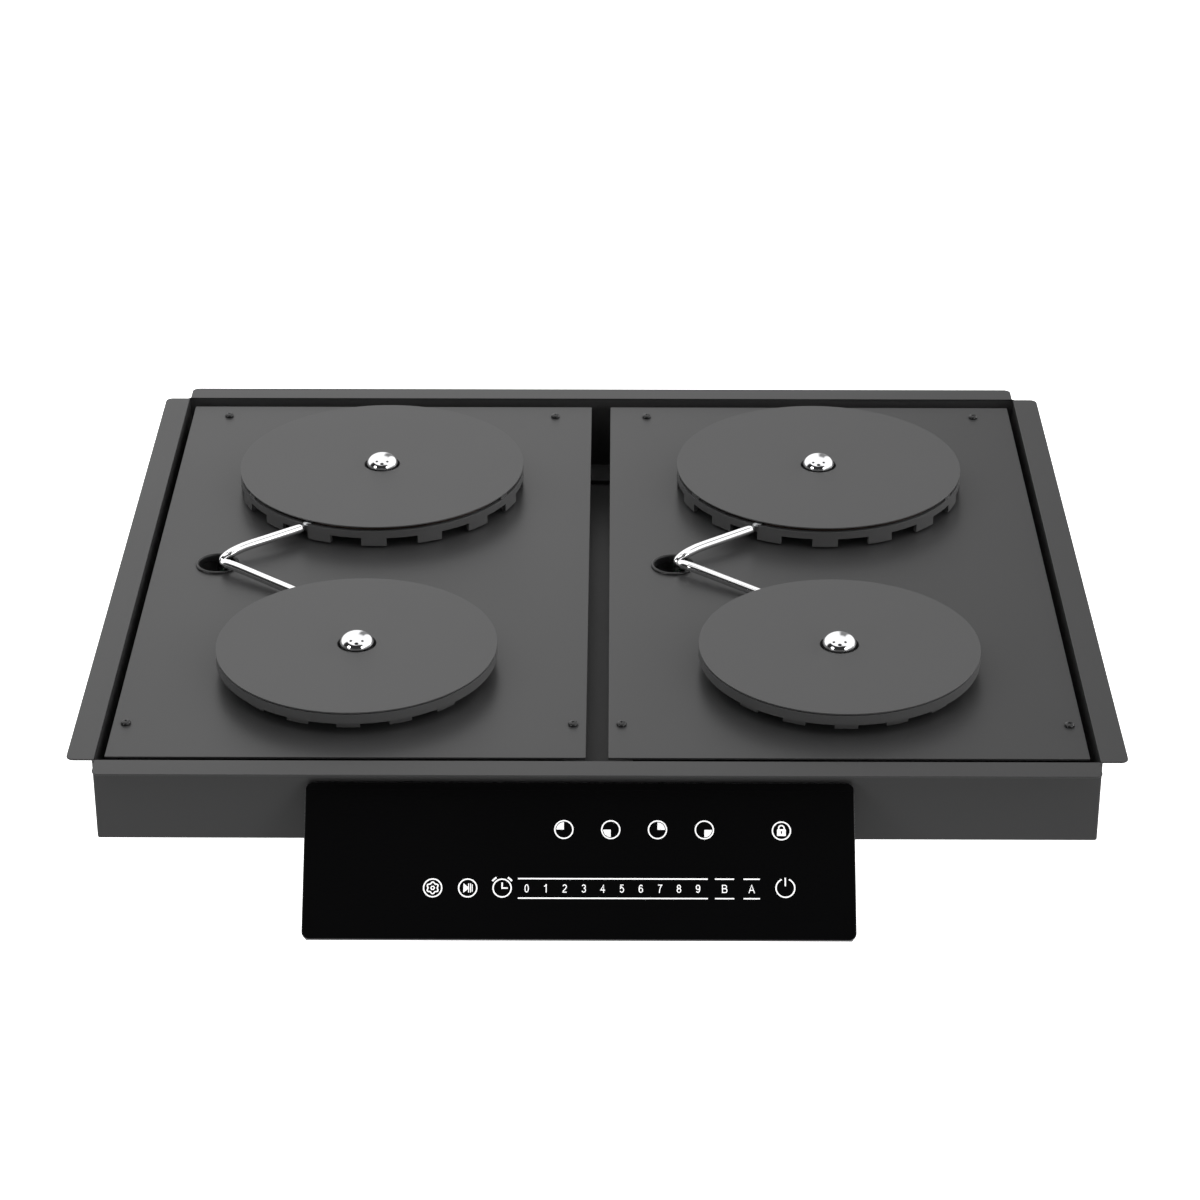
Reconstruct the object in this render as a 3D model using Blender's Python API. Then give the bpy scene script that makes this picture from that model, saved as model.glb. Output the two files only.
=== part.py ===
"""Four-zone induction cooktop that is let in under a slab, with its front touch console.

Metres, +Z up, -Y towards the cook. The origin is the centre of the tray's opening, in the plane
of the top of its flanges.
"""

import math

import bmesh
import bpy
from mathutils import Matrix, Vector

mm = 0.001

# Gaps between pieces
touch_gap = 0.3 * mm            # between two pieces that rest on each other
hole_gap = 0.3 * mm             # round a screw or a stem in its hole

# Coils: disc on top, winding in a round former with square teeth below its rim
rear_coil_radius = 104.2 * mm
front_coil_radius = 93.8 * mm
disc_top = 14 * mm              # all four discs end at this height, under the slab
disc_sheet = 1 * mm
rear_seam = 2.6 * mm            # open gap between disc and rim
front_seam = 0.6 * mm
rear_rim = 5.7 * mm
front_rim = 7 * mm
rear_teeth_height = 6 * mm
front_teeth_height = 5.8 * mm
rear_teeth_inset = 0 * mm
front_teeth_inset = 5.6 * mm
tooth_relief = 0.02 * mm        # how far a flush tooth stays inside the rim
former_wall = 3 * mm
former_web = 2 * mm
hub_wall = 2.2 * mm
pad_radius = 6 * mm             # feet under the former
pad_count = 3
first_pad = 30                  # degrees from +X
winding_margin = 10 * mm        # between the hub and the winding
winding_gap = 1 * mm            # between the winding and the rim
tooth_count = 16
tooth_angle = 10                # degrees of each tooth
first_tooth = -90               # degrees from +X of the tooth nearest the front
clip_angles = (-152, -28, 90)   # the tabs that hold the disc off the rim
clip_width = 9 * mm

# Sensor: a sprung cap that stands through the middle of each disc
cap_radius = 11.4 * mm
cap_height = 8.2 * mm           # dome above the disc
cap_skirt = 6 * mm
cap_wall = 1.2 * mm
cap_gap = 1.6 * mm              # round the cap in its hole
cap_travel = 6 * mm
stem_radius = 3 * mm
clip_radius = 5 * mm
clip_height = 1.2 * mm
spring_radius = 6.6 * mm
spring_wire = 0.6 * mm          # radius of the wire
spring_turns = 3

# Plates that carry the coils
plate_sheet = 1.5 * mm
plate_drop = 3.1 * mm           # top of the plates below the flanges
coil_side_margin = 49.5 * mm
coil_rear_margin = 34 * mm
coil_front_margin = 27.3 * mm
coil_spacing = 79.1 * mm        # between the rims of the two coils on a plate
stem_hole = 8 * mm
plate_side_gap = 5.4 * mm
plate_end_gap = 9.3 * mm
plate_centre_gap = 14.4 * mm

# Screws
rear_screw_inset = 28 * mm      # from the plate's side edges
front_screw_inset = 8.5 * mm
rear_screw_margin = 18.2 * mm   # from the plate's rear edge
front_screw_margin = 42.2 * mm
screw_radius = 1.5 * mm
screw_head = 3.4 * mm
screw_head_height = 2 * mm
screw_length = 8 * mm
wall_screw_length = 5 * mm      # through the tray's wall into the console's bracket

# Tray
sheet = 1.2 * mm
tray_height = 58 * mm
flange_width = 18 * mm
flange_corner = 5 * mm
flange_notch = 0.6 * mm         # cut back at each end, so that no two flanges meet

# Rails under the plates
rail_sheet = 1.5 * mm
rail_flange = 16 * mm
cable_notch_width = 14 * mm     # way through the front rail for the console's cable
mains_notch_width = 34 * mm     # way through the rear rail for the mains cord
mains_notch_rise = 14 * mm

# Coil leads and the grommets they come up through
lead_radius = 3.35 * mm
cable_hole_from_left = 44.8 * mm
cable_hole_behind_coil = 53.3 * mm
grommet_radius = 15.4 * mm
grommet_bore = 13 * mm
grommet_lip = 1.8 * mm
grommet_groove = 1.2 * mm       # how deep the plate sits in the grommet
rear_lead_entry = -119.2        # degrees from +X where the lead meets the rim
front_lead_entry = 112.8
rear_lead_end = 7.25 * mm       # underside of the lead's end above the plate
front_lead_end = 0.45 * mm
lead_end_gap = 2 * mm           # between a lead's end and the rim
lead_side_step = 4.1 * mm       # each lead from the middle of the hole
lead_shift = 3.2 * mm           # both leads to the right of the middle of the hole
# Millimetres right of the hole's middle, towards the coil, and from the plate up to the underside.
rear_lead_bends = ((3.4, 4.1, -2.5), (5.6, 4.9, 0.3), (8.8, 6.3, 2.3), (13, 9.2, 3.5), (20.4, 14.4, 4.5))
front_lead_bends = ((3.6, 4.4, -2.7), (4.9, 6.9, 0.7), (6.7, 10, 2.5), (10.4, 13, 3), (18.4, 18.5, 2.8))

# Power electronics on the floor of the tray
board_sheet = 1.6 * mm
standoff = 6 * mm
standoff_radius = 3.5 * mm
standoff_inset = 8 * mm
power_board_margin = 33.7 * mm  # from the side edges of the plate above
power_board_depth = 170 * mm
filter_board_size = (110 * mm, 62 * mm)
sink_size = (120 * mm, 52 * mm, 30 * mm)
sink_base = 4 * mm
fin_count = 9
fin_sheet = 1.6 * mm
layout_gap = 9 * mm

# Fans
fan_side = 80 * mm
fan_depth = 25 * mm
fan_bore = 38 * mm
fan_corner = 5 * mm
rotor_radius = 36.5 * mm
hub_radius = 16 * mm
blade_count = 7
blade_sheet = 1.6 * mm
blade_pitch = 38                # degrees
spoke_width = 5 * mm
spoke_height = 3 * mm
spoke_lift = 0.05 * mm          # the spokes start this far inside the frame's lower face
rotor_margin = 2 * mm           # above the boss, and below the top of the frame
pin_share = 0.6                 # height of the pin as a share of the frame's depth
pin_radius = 2 * mm

# Air slots
slot_width = 5 * mm
slot_pitch = 10 * mm
slot_rounding = 0.49            # corner radius of a slot as a share of its width
wall_slot_pitch = 14 * mm
wall_slot_shift = -18 * mm      # the rear slots from the middle of each fan
wall_slot_count = 9
wall_slot_height = 26 * mm

# Mains inlet
gland_from_side = 58 * mm
gland_height = 28 * mm          # below the flanges
gland_bore = 5 * mm
gland_neck = 8 * mm
gland_flange = 12 * mm
gland_flange_sheet = 3 * mm
gland_inside = 9 * mm           # how far the bush reaches into the tray
gland_outside = 10 * mm
gland_lip = 1 * mm              # snap lip behind the wall
terminal_size = (58 * mm, 24 * mm, 22 * mm)
terminal_count = 5
terminal_groove = 1.2 * mm      # between two ways of the block
terminal_groove_share = 0.55    # depth of the groove as a share of the block's height

# Touch console
console_offset = -10.9 * mm     # middle of the console from the middle of the tray
console_width = 349 * mm
console_height = 101.4 * mm
console_tilt = 44               # degrees from upright
console_drop = 13.7 * mm        # top edge of the glass below the flanges
glass_sheet = 3 * mm
glass_corner = 5 * mm
housing_depth = 15 * mm
housing_wall = 2 * mm
housing_inset = 1.5 * mm
seat_depth = 4 * mm
ledge = 8 * mm                  # width of the ledge that the touch board lies on
housing_chamfer = 6 * mm
board_margin = 6 * mm
bracket_sheet = 1.5 * mm
bracket_width = 120 * mm
bracket_reach = 38 * mm
bracket_upright = 14 * mm
bracket_screw_spacing = 80 * mm
cable_radius = 2.5 * mm
cable_hole_gap = 2.2 * mm
cable_hole_rise = 5 * mm        # cable hole above the foot of the housing's upright face
cable_side = -60 * mm           # where the console cable runs, from the middle of the tray

# Sizes that follow from the ones above
plate_width = 2 * (rear_coil_radius + coil_side_margin)
plate_depth = (
    coil_rear_margin + 2 * rear_coil_radius + coil_spacing + 2 * front_coil_radius + coil_front_margin
)
opening_width = 2 * (plate_width + plate_side_gap) + plate_centre_gap
opening_depth = plate_depth + 2 * plate_end_gap
plate_centre_x = (plate_centre_gap + plate_width) / 2
plate_top = -plate_drop
plate_bottom = plate_top - plate_sheet
rear_coil_y = plate_depth / 2 - coil_rear_margin - rear_coil_radius
front_coil_y = -plate_depth / 2 + coil_front_margin + front_coil_radius
rear_screw_y = plate_depth / 2 - rear_screw_margin
front_screw_y = -plate_depth / 2 + front_screw_margin
cable_hole_y = front_coil_y + front_coil_radius + cable_hole_behind_coil
cable_hole_x = cable_hole_from_left - plate_width / 2     # from the middle of its plate
floor_top = -tray_height + sheet
board_bottom = floor_top + standoff
board_top = board_bottom + board_sheet
rail_top = plate_bottom - touch_gap
fan_y = front_screw_y + rail_flange / 2 + layout_gap + fan_side / 2
power_board_y = fan_y + fan_side / 2 + layout_gap + power_board_depth / 2
filter_board_y = power_board_y + (power_board_depth + filter_board_size[1]) / 2 + layout_gap
cap_hole = cap_radius + cap_gap
wall_front = -opening_depth / 2 - sheet
gland_x = opening_width / 2 - gland_from_side
power_board_size = (plate_width - 2 * power_board_margin, power_board_depth)

sides = {"left": -plate_centre_x, "right": plate_centre_x}
coils = {
    "rear": {
        "radius": rear_coil_radius, "y": rear_coil_y, "seam": rear_seam, "rim": rear_rim,
        "teeth": rear_teeth_height, "inset": rear_teeth_inset, "entry": rear_lead_entry,
        "lead_end": rear_lead_end, "bends": rear_lead_bends,
    },
    "front": {
        "radius": front_coil_radius, "y": front_coil_y, "seam": front_seam, "rim": front_rim,
        "teeth": front_teeth_height, "inset": front_teeth_inset, "entry": front_lead_entry,
        "lead_end": front_lead_end, "bends": front_lead_bends,
    },
}

finishes = {                    # colour, roughness, metallic
    "coated_steel": ((0.055, 0.055, 0.056), 0.5, 0.2),
    "coil_pad": ((0.06, 0.06, 0.061), 0.6, 0.0),
    "black_plastic": ((0.03, 0.03, 0.031), 0.55, 0.0),
    "black_screw": ((0.02, 0.02, 0.021), 0.3, 0.8),
    "copper_wire": ((0.5, 0.21, 0.1), 0.4, 0.9),
    "chrome": ((0.8, 0.8, 0.81), 0.05, 1.0),
    "spring_steel": ((0.45, 0.45, 0.46), 0.3, 1.0),
    "rubber": ((0.02, 0.02, 0.02), 0.7, 0.0),
    "lead_sleeve": ((0.85, 0.85, 0.86), 0.08, 1.0),
    "circuit_board": ((0.03, 0.11, 0.05), 0.5, 0.0),
    "aluminium": ((0.6, 0.61, 0.62), 0.35, 1.0),
    "nylon": ((0.5, 0.5, 0.48), 0.5, 0.0),
    "zinc_steel": ((0.5, 0.5, 0.52), 0.35, 1.0),
    "console_glass": ((0.006, 0.006, 0.007), 0.05, 0.0),
    "cable": ((0.02, 0.02, 0.02), 0.5, 0.0),
}


def clear_scene():
    for old in list(bpy.data.objects):
        bpy.data.objects.remove(old, do_unlink=True)


def finish_material(finish):
    material = bpy.data.materials.get(finish)
    if material is None:
        colour, roughness, metallic = finishes[finish]
        material = bpy.data.materials.new(finish)
        material.use_nodes = True
        shader = material.node_tree.nodes["Principled BSDF"]
        shader.inputs["Base Color"].default_value = (*colour, 1)
        shader.inputs["Roughness"].default_value = roughness
        shader.inputs["Metallic"].default_value = metallic
        material.diffuse_color = (*colour, 1)
    return material


def place(name, mesh, finish, location=(0, 0, 0), rotation=(0, 0, 0), parent=None):
    """Add a mesh or a curve to the scene as one piece of the cooktop."""
    piece = bpy.data.objects.new(name, mesh)
    bpy.context.scene.collection.objects.link(piece)
    piece.parent = parent
    piece.location = location
    piece.rotation_euler = rotation
    if not mesh.materials:
        mesh.materials.append(finish_material(finish))
    return piece


def frame_empty(name, location, rotation=(0, 0, 0)):
    """An empty that a group of pieces is placed from."""
    empty = bpy.data.objects.new(name, None)
    bpy.context.scene.collection.objects.link(empty)
    empty.location = location
    empty.rotation_euler = rotation
    return empty


def mesh_from(shape, name, smooth=True):
    bmesh.ops.recalc_face_normals(shape, faces=shape.faces[:])
    mesh = bpy.data.meshes.new(name)
    shape.to_mesh(mesh)
    shape.free()
    if smooth:
        mesh.shade_smooth()
        mesh.set_sharp_from_angle(angle=math.radians(35))
    return mesh


def add_prism(shape, outline, low, high, turn=Matrix.Identity(4)):
    """Extrude a flat outline from low to high along Z, then turn the result."""
    bottom = [shape.verts.new(turn @ Vector((x, y, low))) for x, y in outline]
    top = [shape.verts.new(turn @ Vector((x, y, high))) for x, y in outline]
    shape.faces.new(reversed(bottom))
    shape.faces.new(top)
    for i in range(len(outline)):
        j = (i + 1) % len(outline)
        shape.faces.new((bottom[i], bottom[j], top[j], top[i]))


def prism(name, outline, low, high, turn=Matrix.Identity(4)):
    shape = bmesh.new()
    add_prism(shape, outline, low, high, turn)
    return mesh_from(shape, name)


def rectangle(width, depth, middle=(0, 0)):
    x, y = middle
    return [
        (x - width / 2, y - depth / 2), (x + width / 2, y - depth / 2),
        (x + width / 2, y + depth / 2), (x - width / 2, y + depth / 2),
    ]


def circle(radius, sides_round, middle=(0, 0)):
    steps = [2 * math.pi * i / sides_round for i in range(sides_round)]
    return [(middle[0] + radius * math.cos(a), middle[1] + radius * math.sin(a)) for a in steps]


def rounded(width, depth, radius, middle=(0, 0), corner_steps=4, corners=(0, 1, 2, 3)):
    """A rectangle with the listed corners rounded: 0 is +X +Y, then anticlockwise."""
    points = []
    for corner, (sx, sy) in enumerate(((1, 1), (-1, 1), (-1, -1), (1, -1))):
        bend = radius if corner in corners else 0
        cx = middle[0] + sx * (width / 2 - bend)
        cy = middle[1] + sy * (depth / 2 - bend)
        for step in range(corner_steps + 1 if bend else 1):
            a = math.radians(90 * corner + 90 * step / corner_steps)
            points.append((cx + bend * math.cos(a), cy + bend * math.sin(a)))
    return points


def turned(name, profile, sides_round=32, angles=None):
    """Turn a closed profile of (radius, height) points about Z; radius 0 lies on the axis."""
    angles = angles or [2 * math.pi * i / sides_round for i in range(sides_round)]
    shape = bmesh.new()
    rings = []
    for radius, height in profile:
        if radius == 0:
            rings.append([shape.verts.new((0, 0, height))] * len(angles))
        else:
            rings.append(
                [shape.verts.new((radius * math.cos(a), radius * math.sin(a), height)) for a in angles]
            )
    for i in range(len(profile)):
        near, far = rings[i], rings[(i + 1) % len(profile)]
        for k in range(len(angles)):
            m = (k + 1) % len(angles)
            corners = list(dict.fromkeys((near[k], near[m], far[m], far[k])))
            if len(corners) > 2:
                shape.faces.new(corners)
    return mesh_from(shape, name)


def helper(name, mesh, parent=None):
    """A cutter or an added shape that only serves a Boolean."""
    piece = bpy.data.objects.new(name, mesh)
    bpy.context.scene.collection.objects.link(piece)
    piece.parent = parent
    piece.hide_render = True
    piece.display_type = "WIRE"
    return piece


def combine(piece, other, operation):
    modifier = piece.modifiers.new(other.name, "BOOLEAN")
    modifier.operation = operation
    modifier.object = other
    modifier.solver = "EXACT"


def smooth_route(knots, spacing):
    """Points about one spacing apart on a Catmull-Rom curve through the knots."""
    ends = [knots[0] * 2 - knots[1], *knots, knots[-1] * 2 - knots[-2]]
    points = []
    for before, start, end, after in zip(ends, ends[1:], ends[2:], ends[3:]):
        steps = max(1, round((end - start).length / spacing))
        for step in range(steps):
            t = step / steps
            points.append(
                0.5 * (2 * start + (end - before) * t + (2 * before - 5 * start + 4 * end - after) * t**2
                       + (3 * start - before - 3 * end + after) * t**3)
            )
    return [*points, knots[-1]]


def tube(name, points, radius, finish, resolution=2):
    curve = bpy.data.curves.new(name, "CURVE")
    curve.dimensions = "3D"
    curve.bevel_depth = radius
    curve.bevel_resolution = resolution
    curve.use_fill_caps = True
    spline = curve.splines.new("POLY")
    spline.points.add(len(points) - 1)
    for target, point in zip(spline.points, points):
        target.co = (*point, 1)
    return place(name, curve, finish)


def across_y():
    """Turns a shape made along Z so that it runs along Y."""
    return Matrix.Rotation(math.radians(-90), 4, "X")


def across_x():
    """Turns an outline of (y, z) points made along Z so that it runs along X."""
    return Matrix(((0, 0, 1, 0), (1, 0, 0, 0), (0, 1, 0, 0), (0, 0, 0, 1)))


def slot_outline(length, width, middle):
    """A slot along X or Y, whichever side is longer, with nearly round ends."""
    return rounded(length, width, min(length, width) * slot_rounding, middle, corner_steps=2)


def tray():
    """The sheet-metal box, its four flanges, the posts for the boards and its air slots."""
    outer = rounded(opening_width + 2 * sheet, opening_depth + 2 * sheet, sheet, corner_steps=2)
    box = place("tray", prism("tray", outer, -tray_height, -sheet / 2), "coated_steel")
    hollow = prism("tray_hollow", rectangle(opening_width, opening_depth), floor_top, sheet)
    combine(box, helper("tray_hollow", hollow), "DIFFERENCE")

    flanges = bmesh.new()
    reach = flange_width / 2
    for sign, corners in ((1, (0, 3)), (-1, (1, 2))):
        middle = (sign * (opening_width / 2 + reach), 0)
        outline = rounded(flange_width, opening_depth - 2 * flange_notch, flange_corner, middle,
                          corners=corners)
        add_prism(flanges, outline, -sheet, 0)
    for sign, corners in ((1, (0, 1)), (-1, (2, 3))):
        middle = (0, sign * (opening_depth / 2 + reach))
        outline = rounded(opening_width - 2 * flange_notch, flange_width, flange_corner, middle,
                          corners=corners)
        add_prism(flanges, outline, -sheet, 0)
    combine(box, helper("tray_flanges", mesh_from(flanges, "tray_flanges")), "UNION")

    posts = bmesh.new()
    for middle, size in board_places():
        for sx in (-1, 1):
            for sy in (-1, 1):
                spot = (
                    middle[0] + sx * (size[0] / 2 - standoff_inset),
                    middle[1] + sy * (size[1] / 2 - standoff_inset),
                )
                add_prism(posts, circle(standoff_radius, 10, spot), floor_top - sheet / 2,
                          board_bottom - touch_gap)
    combine(box, helper("tray_posts", mesh_from(posts, "tray_posts")), "UNION")
    combine(box, helper("tray_cuts", tray_cuts()), "DIFFERENCE")


def board_places():
    """Middle and size of every board on the floor of the tray."""
    places = [((x, power_board_y), power_board_size) for x in sides.values()]
    return [*places, ((sides["right"], filter_board_y), filter_board_size)]


def tray_cuts():
    """Air slots under the fans and in the rear wall, and the holes for cable, gland and screws."""
    cuts = bmesh.new()
    low, high = -tray_height - sheet, floor_top + sheet
    rows = int(fan_bore / slot_pitch)
    for x in sides.values():
        for row in range(-rows, rows + 1):
            half = math.sqrt(max(fan_bore**2 - (row * slot_pitch) ** 2, 0)) - slot_width / 2
            if half > slot_width:
                outline = slot_outline(2 * half, slot_width, (x, fan_y + row * slot_pitch))
                add_prism(cuts, outline, low, high)
        # Upright slots in the rear wall let the warm air out.
        for i in range(wall_slot_count):
            offset = x + (i - (wall_slot_count - 1) / 2) * wall_slot_pitch + wall_slot_shift
            outline = slot_outline(slot_width, wall_slot_height, (offset, tray_height / 2))
            add_prism(cuts, outline, opening_depth / 2 - sheet, opening_depth / 2 + 2 * sheet, across_y())
    gland = circle(gland_neck + hole_gap, 20, (gland_x, gland_height))
    add_prism(cuts, gland, opening_depth / 2 - sheet, opening_depth / 2 + 2 * sheet, across_y())
    front = (-opening_depth / 2 - 2 * sheet, -opening_depth / 2 + sheet)
    cable_way = circle(cable_radius + cable_hole_gap, 12, (cable_side, cable_drop()))
    add_prism(cuts, cable_way, *front, across_y())
    for x in bracket_screw_places():
        hole = circle(screw_radius + hole_gap, 8, (x, bracket_screw_drop()))
        add_prism(cuts, hole, *front, across_y())
    return mesh_from(cuts, "tray_cuts")


def coil_plate(side):
    """One of the two flat plates, with holes for screws, sensor stems and leads."""
    x = sides[side]
    name = f"coil_plate_{side}"
    plate = prism(name, rectangle(plate_width, plate_depth), plate_bottom, plate_top)
    plate = place(name, plate, "coated_steel", (x, 0, 0))
    cuts = bmesh.new()
    depth = (plate_bottom - sheet, plate_top + sheet)
    for zone in coils.values():
        add_prism(cuts, circle(stem_hole, 16, (0, zone["y"])), *depth)
    hole = grommet_radius - grommet_groove
    add_prism(cuts, circle(hole, 24, (cable_hole_x, cable_hole_y)), *depth)
    for spot in screw_places():
        add_prism(cuts, circle(screw_radius + hole_gap, 8, spot), *depth)
    cutter = helper(name + "_cuts", mesh_from(cuts, name + "_cuts"), plate)
    combine(plate, cutter, "DIFFERENCE")


def screw_places():
    """Where a plate is screwed down, measured from its middle."""
    half = plate_width / 2
    return [
        (-half + rear_screw_inset, rear_screw_y), (half - rear_screw_inset, rear_screw_y),
        (-half + front_screw_inset, front_screw_y), (half - front_screw_inset, front_screw_y),
    ]


def screw_mesh(name, length):
    """A pan-head screw that points down, with the underside of its head at zero."""
    r, h = screw_head, screw_head_height
    profile = [
        (0, h), (r * 0.8, h * 0.8), (r, 0), (screw_radius, 0), (screw_radius, -length), (0, -length),
    ]
    return turned(name, profile, 8)


def plate_screws(mesh):
    for side, x in sides.items():
        for number, (sx, sy) in enumerate(screw_places(), 1):
            place(f"plate_screw_{side}_{number}", mesh, "black_screw", (x + sx, sy, plate_top + touch_gap))


def rail(name, screw_y, web_side, notch_x, notch):
    """A bent channel across the tray that carries both plates and stands on the floor."""
    low, high = floor_top + touch_gap, rail_top
    open_edge = screw_y - web_side * rail_flange / 2
    web = screw_y + web_side * rail_flange / 2
    inner = web - web_side * rail_sheet
    outline = [
        (open_edge, low), (web, low), (web, high), (open_edge, high),
        (open_edge, high - rail_sheet), (inner, high - rail_sheet), (inner, low + rail_sheet),
        (open_edge, low + rail_sheet),
    ]
    half = opening_width / 2 - plate_side_gap - touch_gap
    channel = place(name, prism(name, outline, -half, half, across_x()), "coated_steel")
    cuts = bmesh.new()
    for x in sides.values():
        for sx, sy in screw_places():
            if sy == screw_y:
                add_prism(cuts, circle(screw_radius + hole_gap, 8, (x + sx, sy)), high - 2 * rail_sheet,
                          high + rail_sheet)
    # Only the foot crosses the gap between the plates.
    middle_at = (0, -(high + low) / 2 - 2 * rail_sheet)
    middle = rectangle(plate_centre_gap + 2 * rail_flange, high - low, middle_at)
    add_prism(cuts, middle, screw_y - rail_flange, screw_y + rail_flange, across_y())
    width, bottom, top = notch
    opening = rectangle(width, top - bottom, (notch_x, -(bottom + top) / 2))
    add_prism(cuts, opening, web - 2 * rail_sheet, web + 2 * rail_sheet, across_y())
    combine(channel, helper(name + "_cuts", mesh_from(cuts, name + "_cuts")), "DIFFERENCE")


def coil_levels(zone):
    """Heights of a coil's parts, from its disc down to the ends of its teeth."""
    rim_top = disc_top - disc_sheet - zone["seam"]
    rim_bottom = rim_top - zone["rim"]
    return rim_top, rim_bottom, rim_bottom - zone["teeth"]


def tooth_angles():
    """Edges of the teeth, with the gaps between them split once."""
    pitch = 360 / tooth_count
    edges = []
    for i in range(tooth_count):
        start = first_tooth - tooth_angle / 2 + i * pitch
        edges += [start, start + tooth_angle, start + (tooth_angle + pitch) / 2]
    return [math.radians(a) for a in edges]


def coil_former(side, end):
    zone = coils[end]
    name = f"coil_former_{side}_{end}"
    rim_top, rim_bottom, base = coil_levels(zone)
    radius = zone["radius"]
    hub = cap_hole + hole_gap + hub_wall
    web_top = rim_bottom + former_web
    ring = [
        (hub - hub_wall / 2, rim_bottom), (radius, rim_bottom), (radius, rim_top),
        (radius - former_wall, rim_top), (radius - former_wall, web_top), (hub - hub_wall / 2, web_top),
    ]
    former = place(name, turned(name, ring, angles=tooth_angles()), "black_plastic",
                   (sides[side], zone["y"], 0))
    hub_top = disc_top - disc_sheet - touch_gap
    cup = [
        (stem_radius + hole_gap, base), (hub, base), (hub, hub_top), (cap_hole + hole_gap, hub_top),
        (cap_hole + hole_gap, base + former_web), (stem_radius + hole_gap, base + former_web),
    ]
    combine(former, helper(name + "_hub", turned(name + "_hub", cup, 20), former), "UNION")

    extras = bmesh.new()
    outer = radius - max(zone["inset"], tooth_relief)
    for i in range(tooth_count):
        start = math.radians(first_tooth - tooth_angle / 2 + i * 360 / tooth_count)
        stop = start + math.radians(tooth_angle)
        outline = [
            (r * math.cos(a), r * math.sin(a))
            for r, a in ((outer, start), (outer, stop), (outer - former_wall, stop),
                         (outer - former_wall, start))
        ]
        add_prism(extras, outline, base, rim_bottom + former_web / 2)
    # Pads stand on the plate and carry the former.
    for i in range(pad_count):
        a = math.radians(first_pad) + 2 * math.pi * i / pad_count
        spot = (radius / 2 * math.cos(a), radius / 2 * math.sin(a))
        add_prism(extras, circle(pad_radius, 6, spot), plate_top + touch_gap, rim_bottom + former_web / 2)
    # Small tabs on the rim hold the disc.
    for angle in clip_angles:
        turn = Matrix.Rotation(math.radians(angle), 4, "Z")
        tab = rectangle(former_wall * 0.8, clip_width, (radius - former_wall * 0.6, 0))
        add_prism(extras, tab, rim_top - former_web / 2, disc_top - disc_sheet - touch_gap / 2, turn)
    combine(former, helper(name + "_extras", mesh_from(extras, name + "_extras"), former), "UNION")


def coil(side, end):
    """Former, winding, disc, sprung sensor cap and lead of one cooking zone."""
    zone = coils[end]
    spot = (sides[side], zone["y"], 0)
    rim_top, rim_bottom, base = coil_levels(zone)
    radius = zone["radius"]
    hub = cap_hole + hole_gap + hub_wall
    coil_former(side, end)

    name = f"coil_winding_{side}_{end}"
    outer, inner = radius - former_wall - winding_gap, hub + winding_margin
    low, high = rim_bottom + former_web + touch_gap, rim_top - touch_gap / 2
    winding = [(inner, low), (outer, low), (outer, high), (inner, high)]
    place(name, turned(name, winding, 32), "copper_wire", spot)

    name = f"coil_disc_{side}_{end}"
    disc = [(cap_hole, disc_top - disc_sheet), (radius, disc_top - disc_sheet), (radius, disc_top),
            (cap_hole, disc_top)]
    place(name, turned(name, disc, 48), "coil_pad", spot)

    sensor(side, end, spot, base)
    lead(side, end)


def sensor(side, end, spot, base):
    """The sprung cap, guided by its stem, and the spring under it."""
    name = f"sensor_cap_{side}_{end}"
    stop_top = base - touch_gap
    outer = [
        (cap_radius * math.cos(a), disc_top + cap_height * math.sin(a))
        for a in (math.radians(22.5 * i) for i in range(4))
    ]
    inner_radius, inner_height = cap_radius - cap_wall, cap_height - cap_wall
    cavity = [
        (inner_radius * math.cos(a), disc_top + inner_height * math.sin(a))
        for a in (math.radians(30 * i) for i in range(3))
    ]
    skirt = disc_top - cap_skirt
    profile = [
        (0, disc_top + cap_height), *reversed(outer), (cap_radius, skirt), (inner_radius, skirt), *cavity,
        (stem_radius, disc_top + inner_height * 0.9), (stem_radius, stop_top), (clip_radius, stop_top),
        (clip_radius, stop_top - clip_height), (0, stop_top - clip_height),
    ]
    place(name, turned(name, profile, 16), "chrome", spot)

    low = base + former_web + touch_gap + spring_wire
    high = disc_top + inner_height * math.sqrt(1 - (spring_radius / inner_radius) ** 2) - 2 * spring_wire
    steps = 9 * spring_turns
    centre = Vector(spot)
    points = [
        centre + Vector((
            spring_radius * math.cos(2 * math.pi * spring_turns * i / steps),
            spring_radius * math.sin(2 * math.pi * spring_turns * i / steps),
            low + (high - low) * i / steps,
        ))
        for i in range(steps + 1)
    ]
    tube(f"sensor_spring_{side}_{end}", points, spring_wire, "spring_steel", 1)


def lead(side, end):
    """A sleeved lead from the power board, up through the grommet and across to its coil."""
    zone = coils[end]
    way = 1 if end == "rear" else -1
    hole = Vector((sides[side] + cable_hole_x, cable_hole_y, 0))
    angle = math.radians(zone["entry"])
    reach = zone["radius"] + lead_end_gap
    target = Vector((
        sides[side] + reach * math.cos(angle),
        zone["y"] + reach * math.sin(angle),
        plate_top + lead_radius + zone["lead_end"],
    ))
    rise = hole + Vector((lead_shift, way * lead_side_step, 0))
    bends = [
        hole + Vector((x * mm, way * y * mm, plate_top + lead_radius + z * mm))
        for x, y, z in zone["bends"]
    ]
    knots = [
        rise + Vector((0, 0, board_top + touch_gap)),
        rise + Vector((0, 0, (board_top + plate_bottom) / 2)),
        rise + Vector((0, 0, plate_bottom - 4 * mm)),
        *bends,
        bends[-1].lerp(target, 0.5),
        target,
    ]
    tube(f"coil_lead_{side}_{end}", smooth_route(knots, 5.5 * mm), lead_radius, "lead_sleeve")


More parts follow.
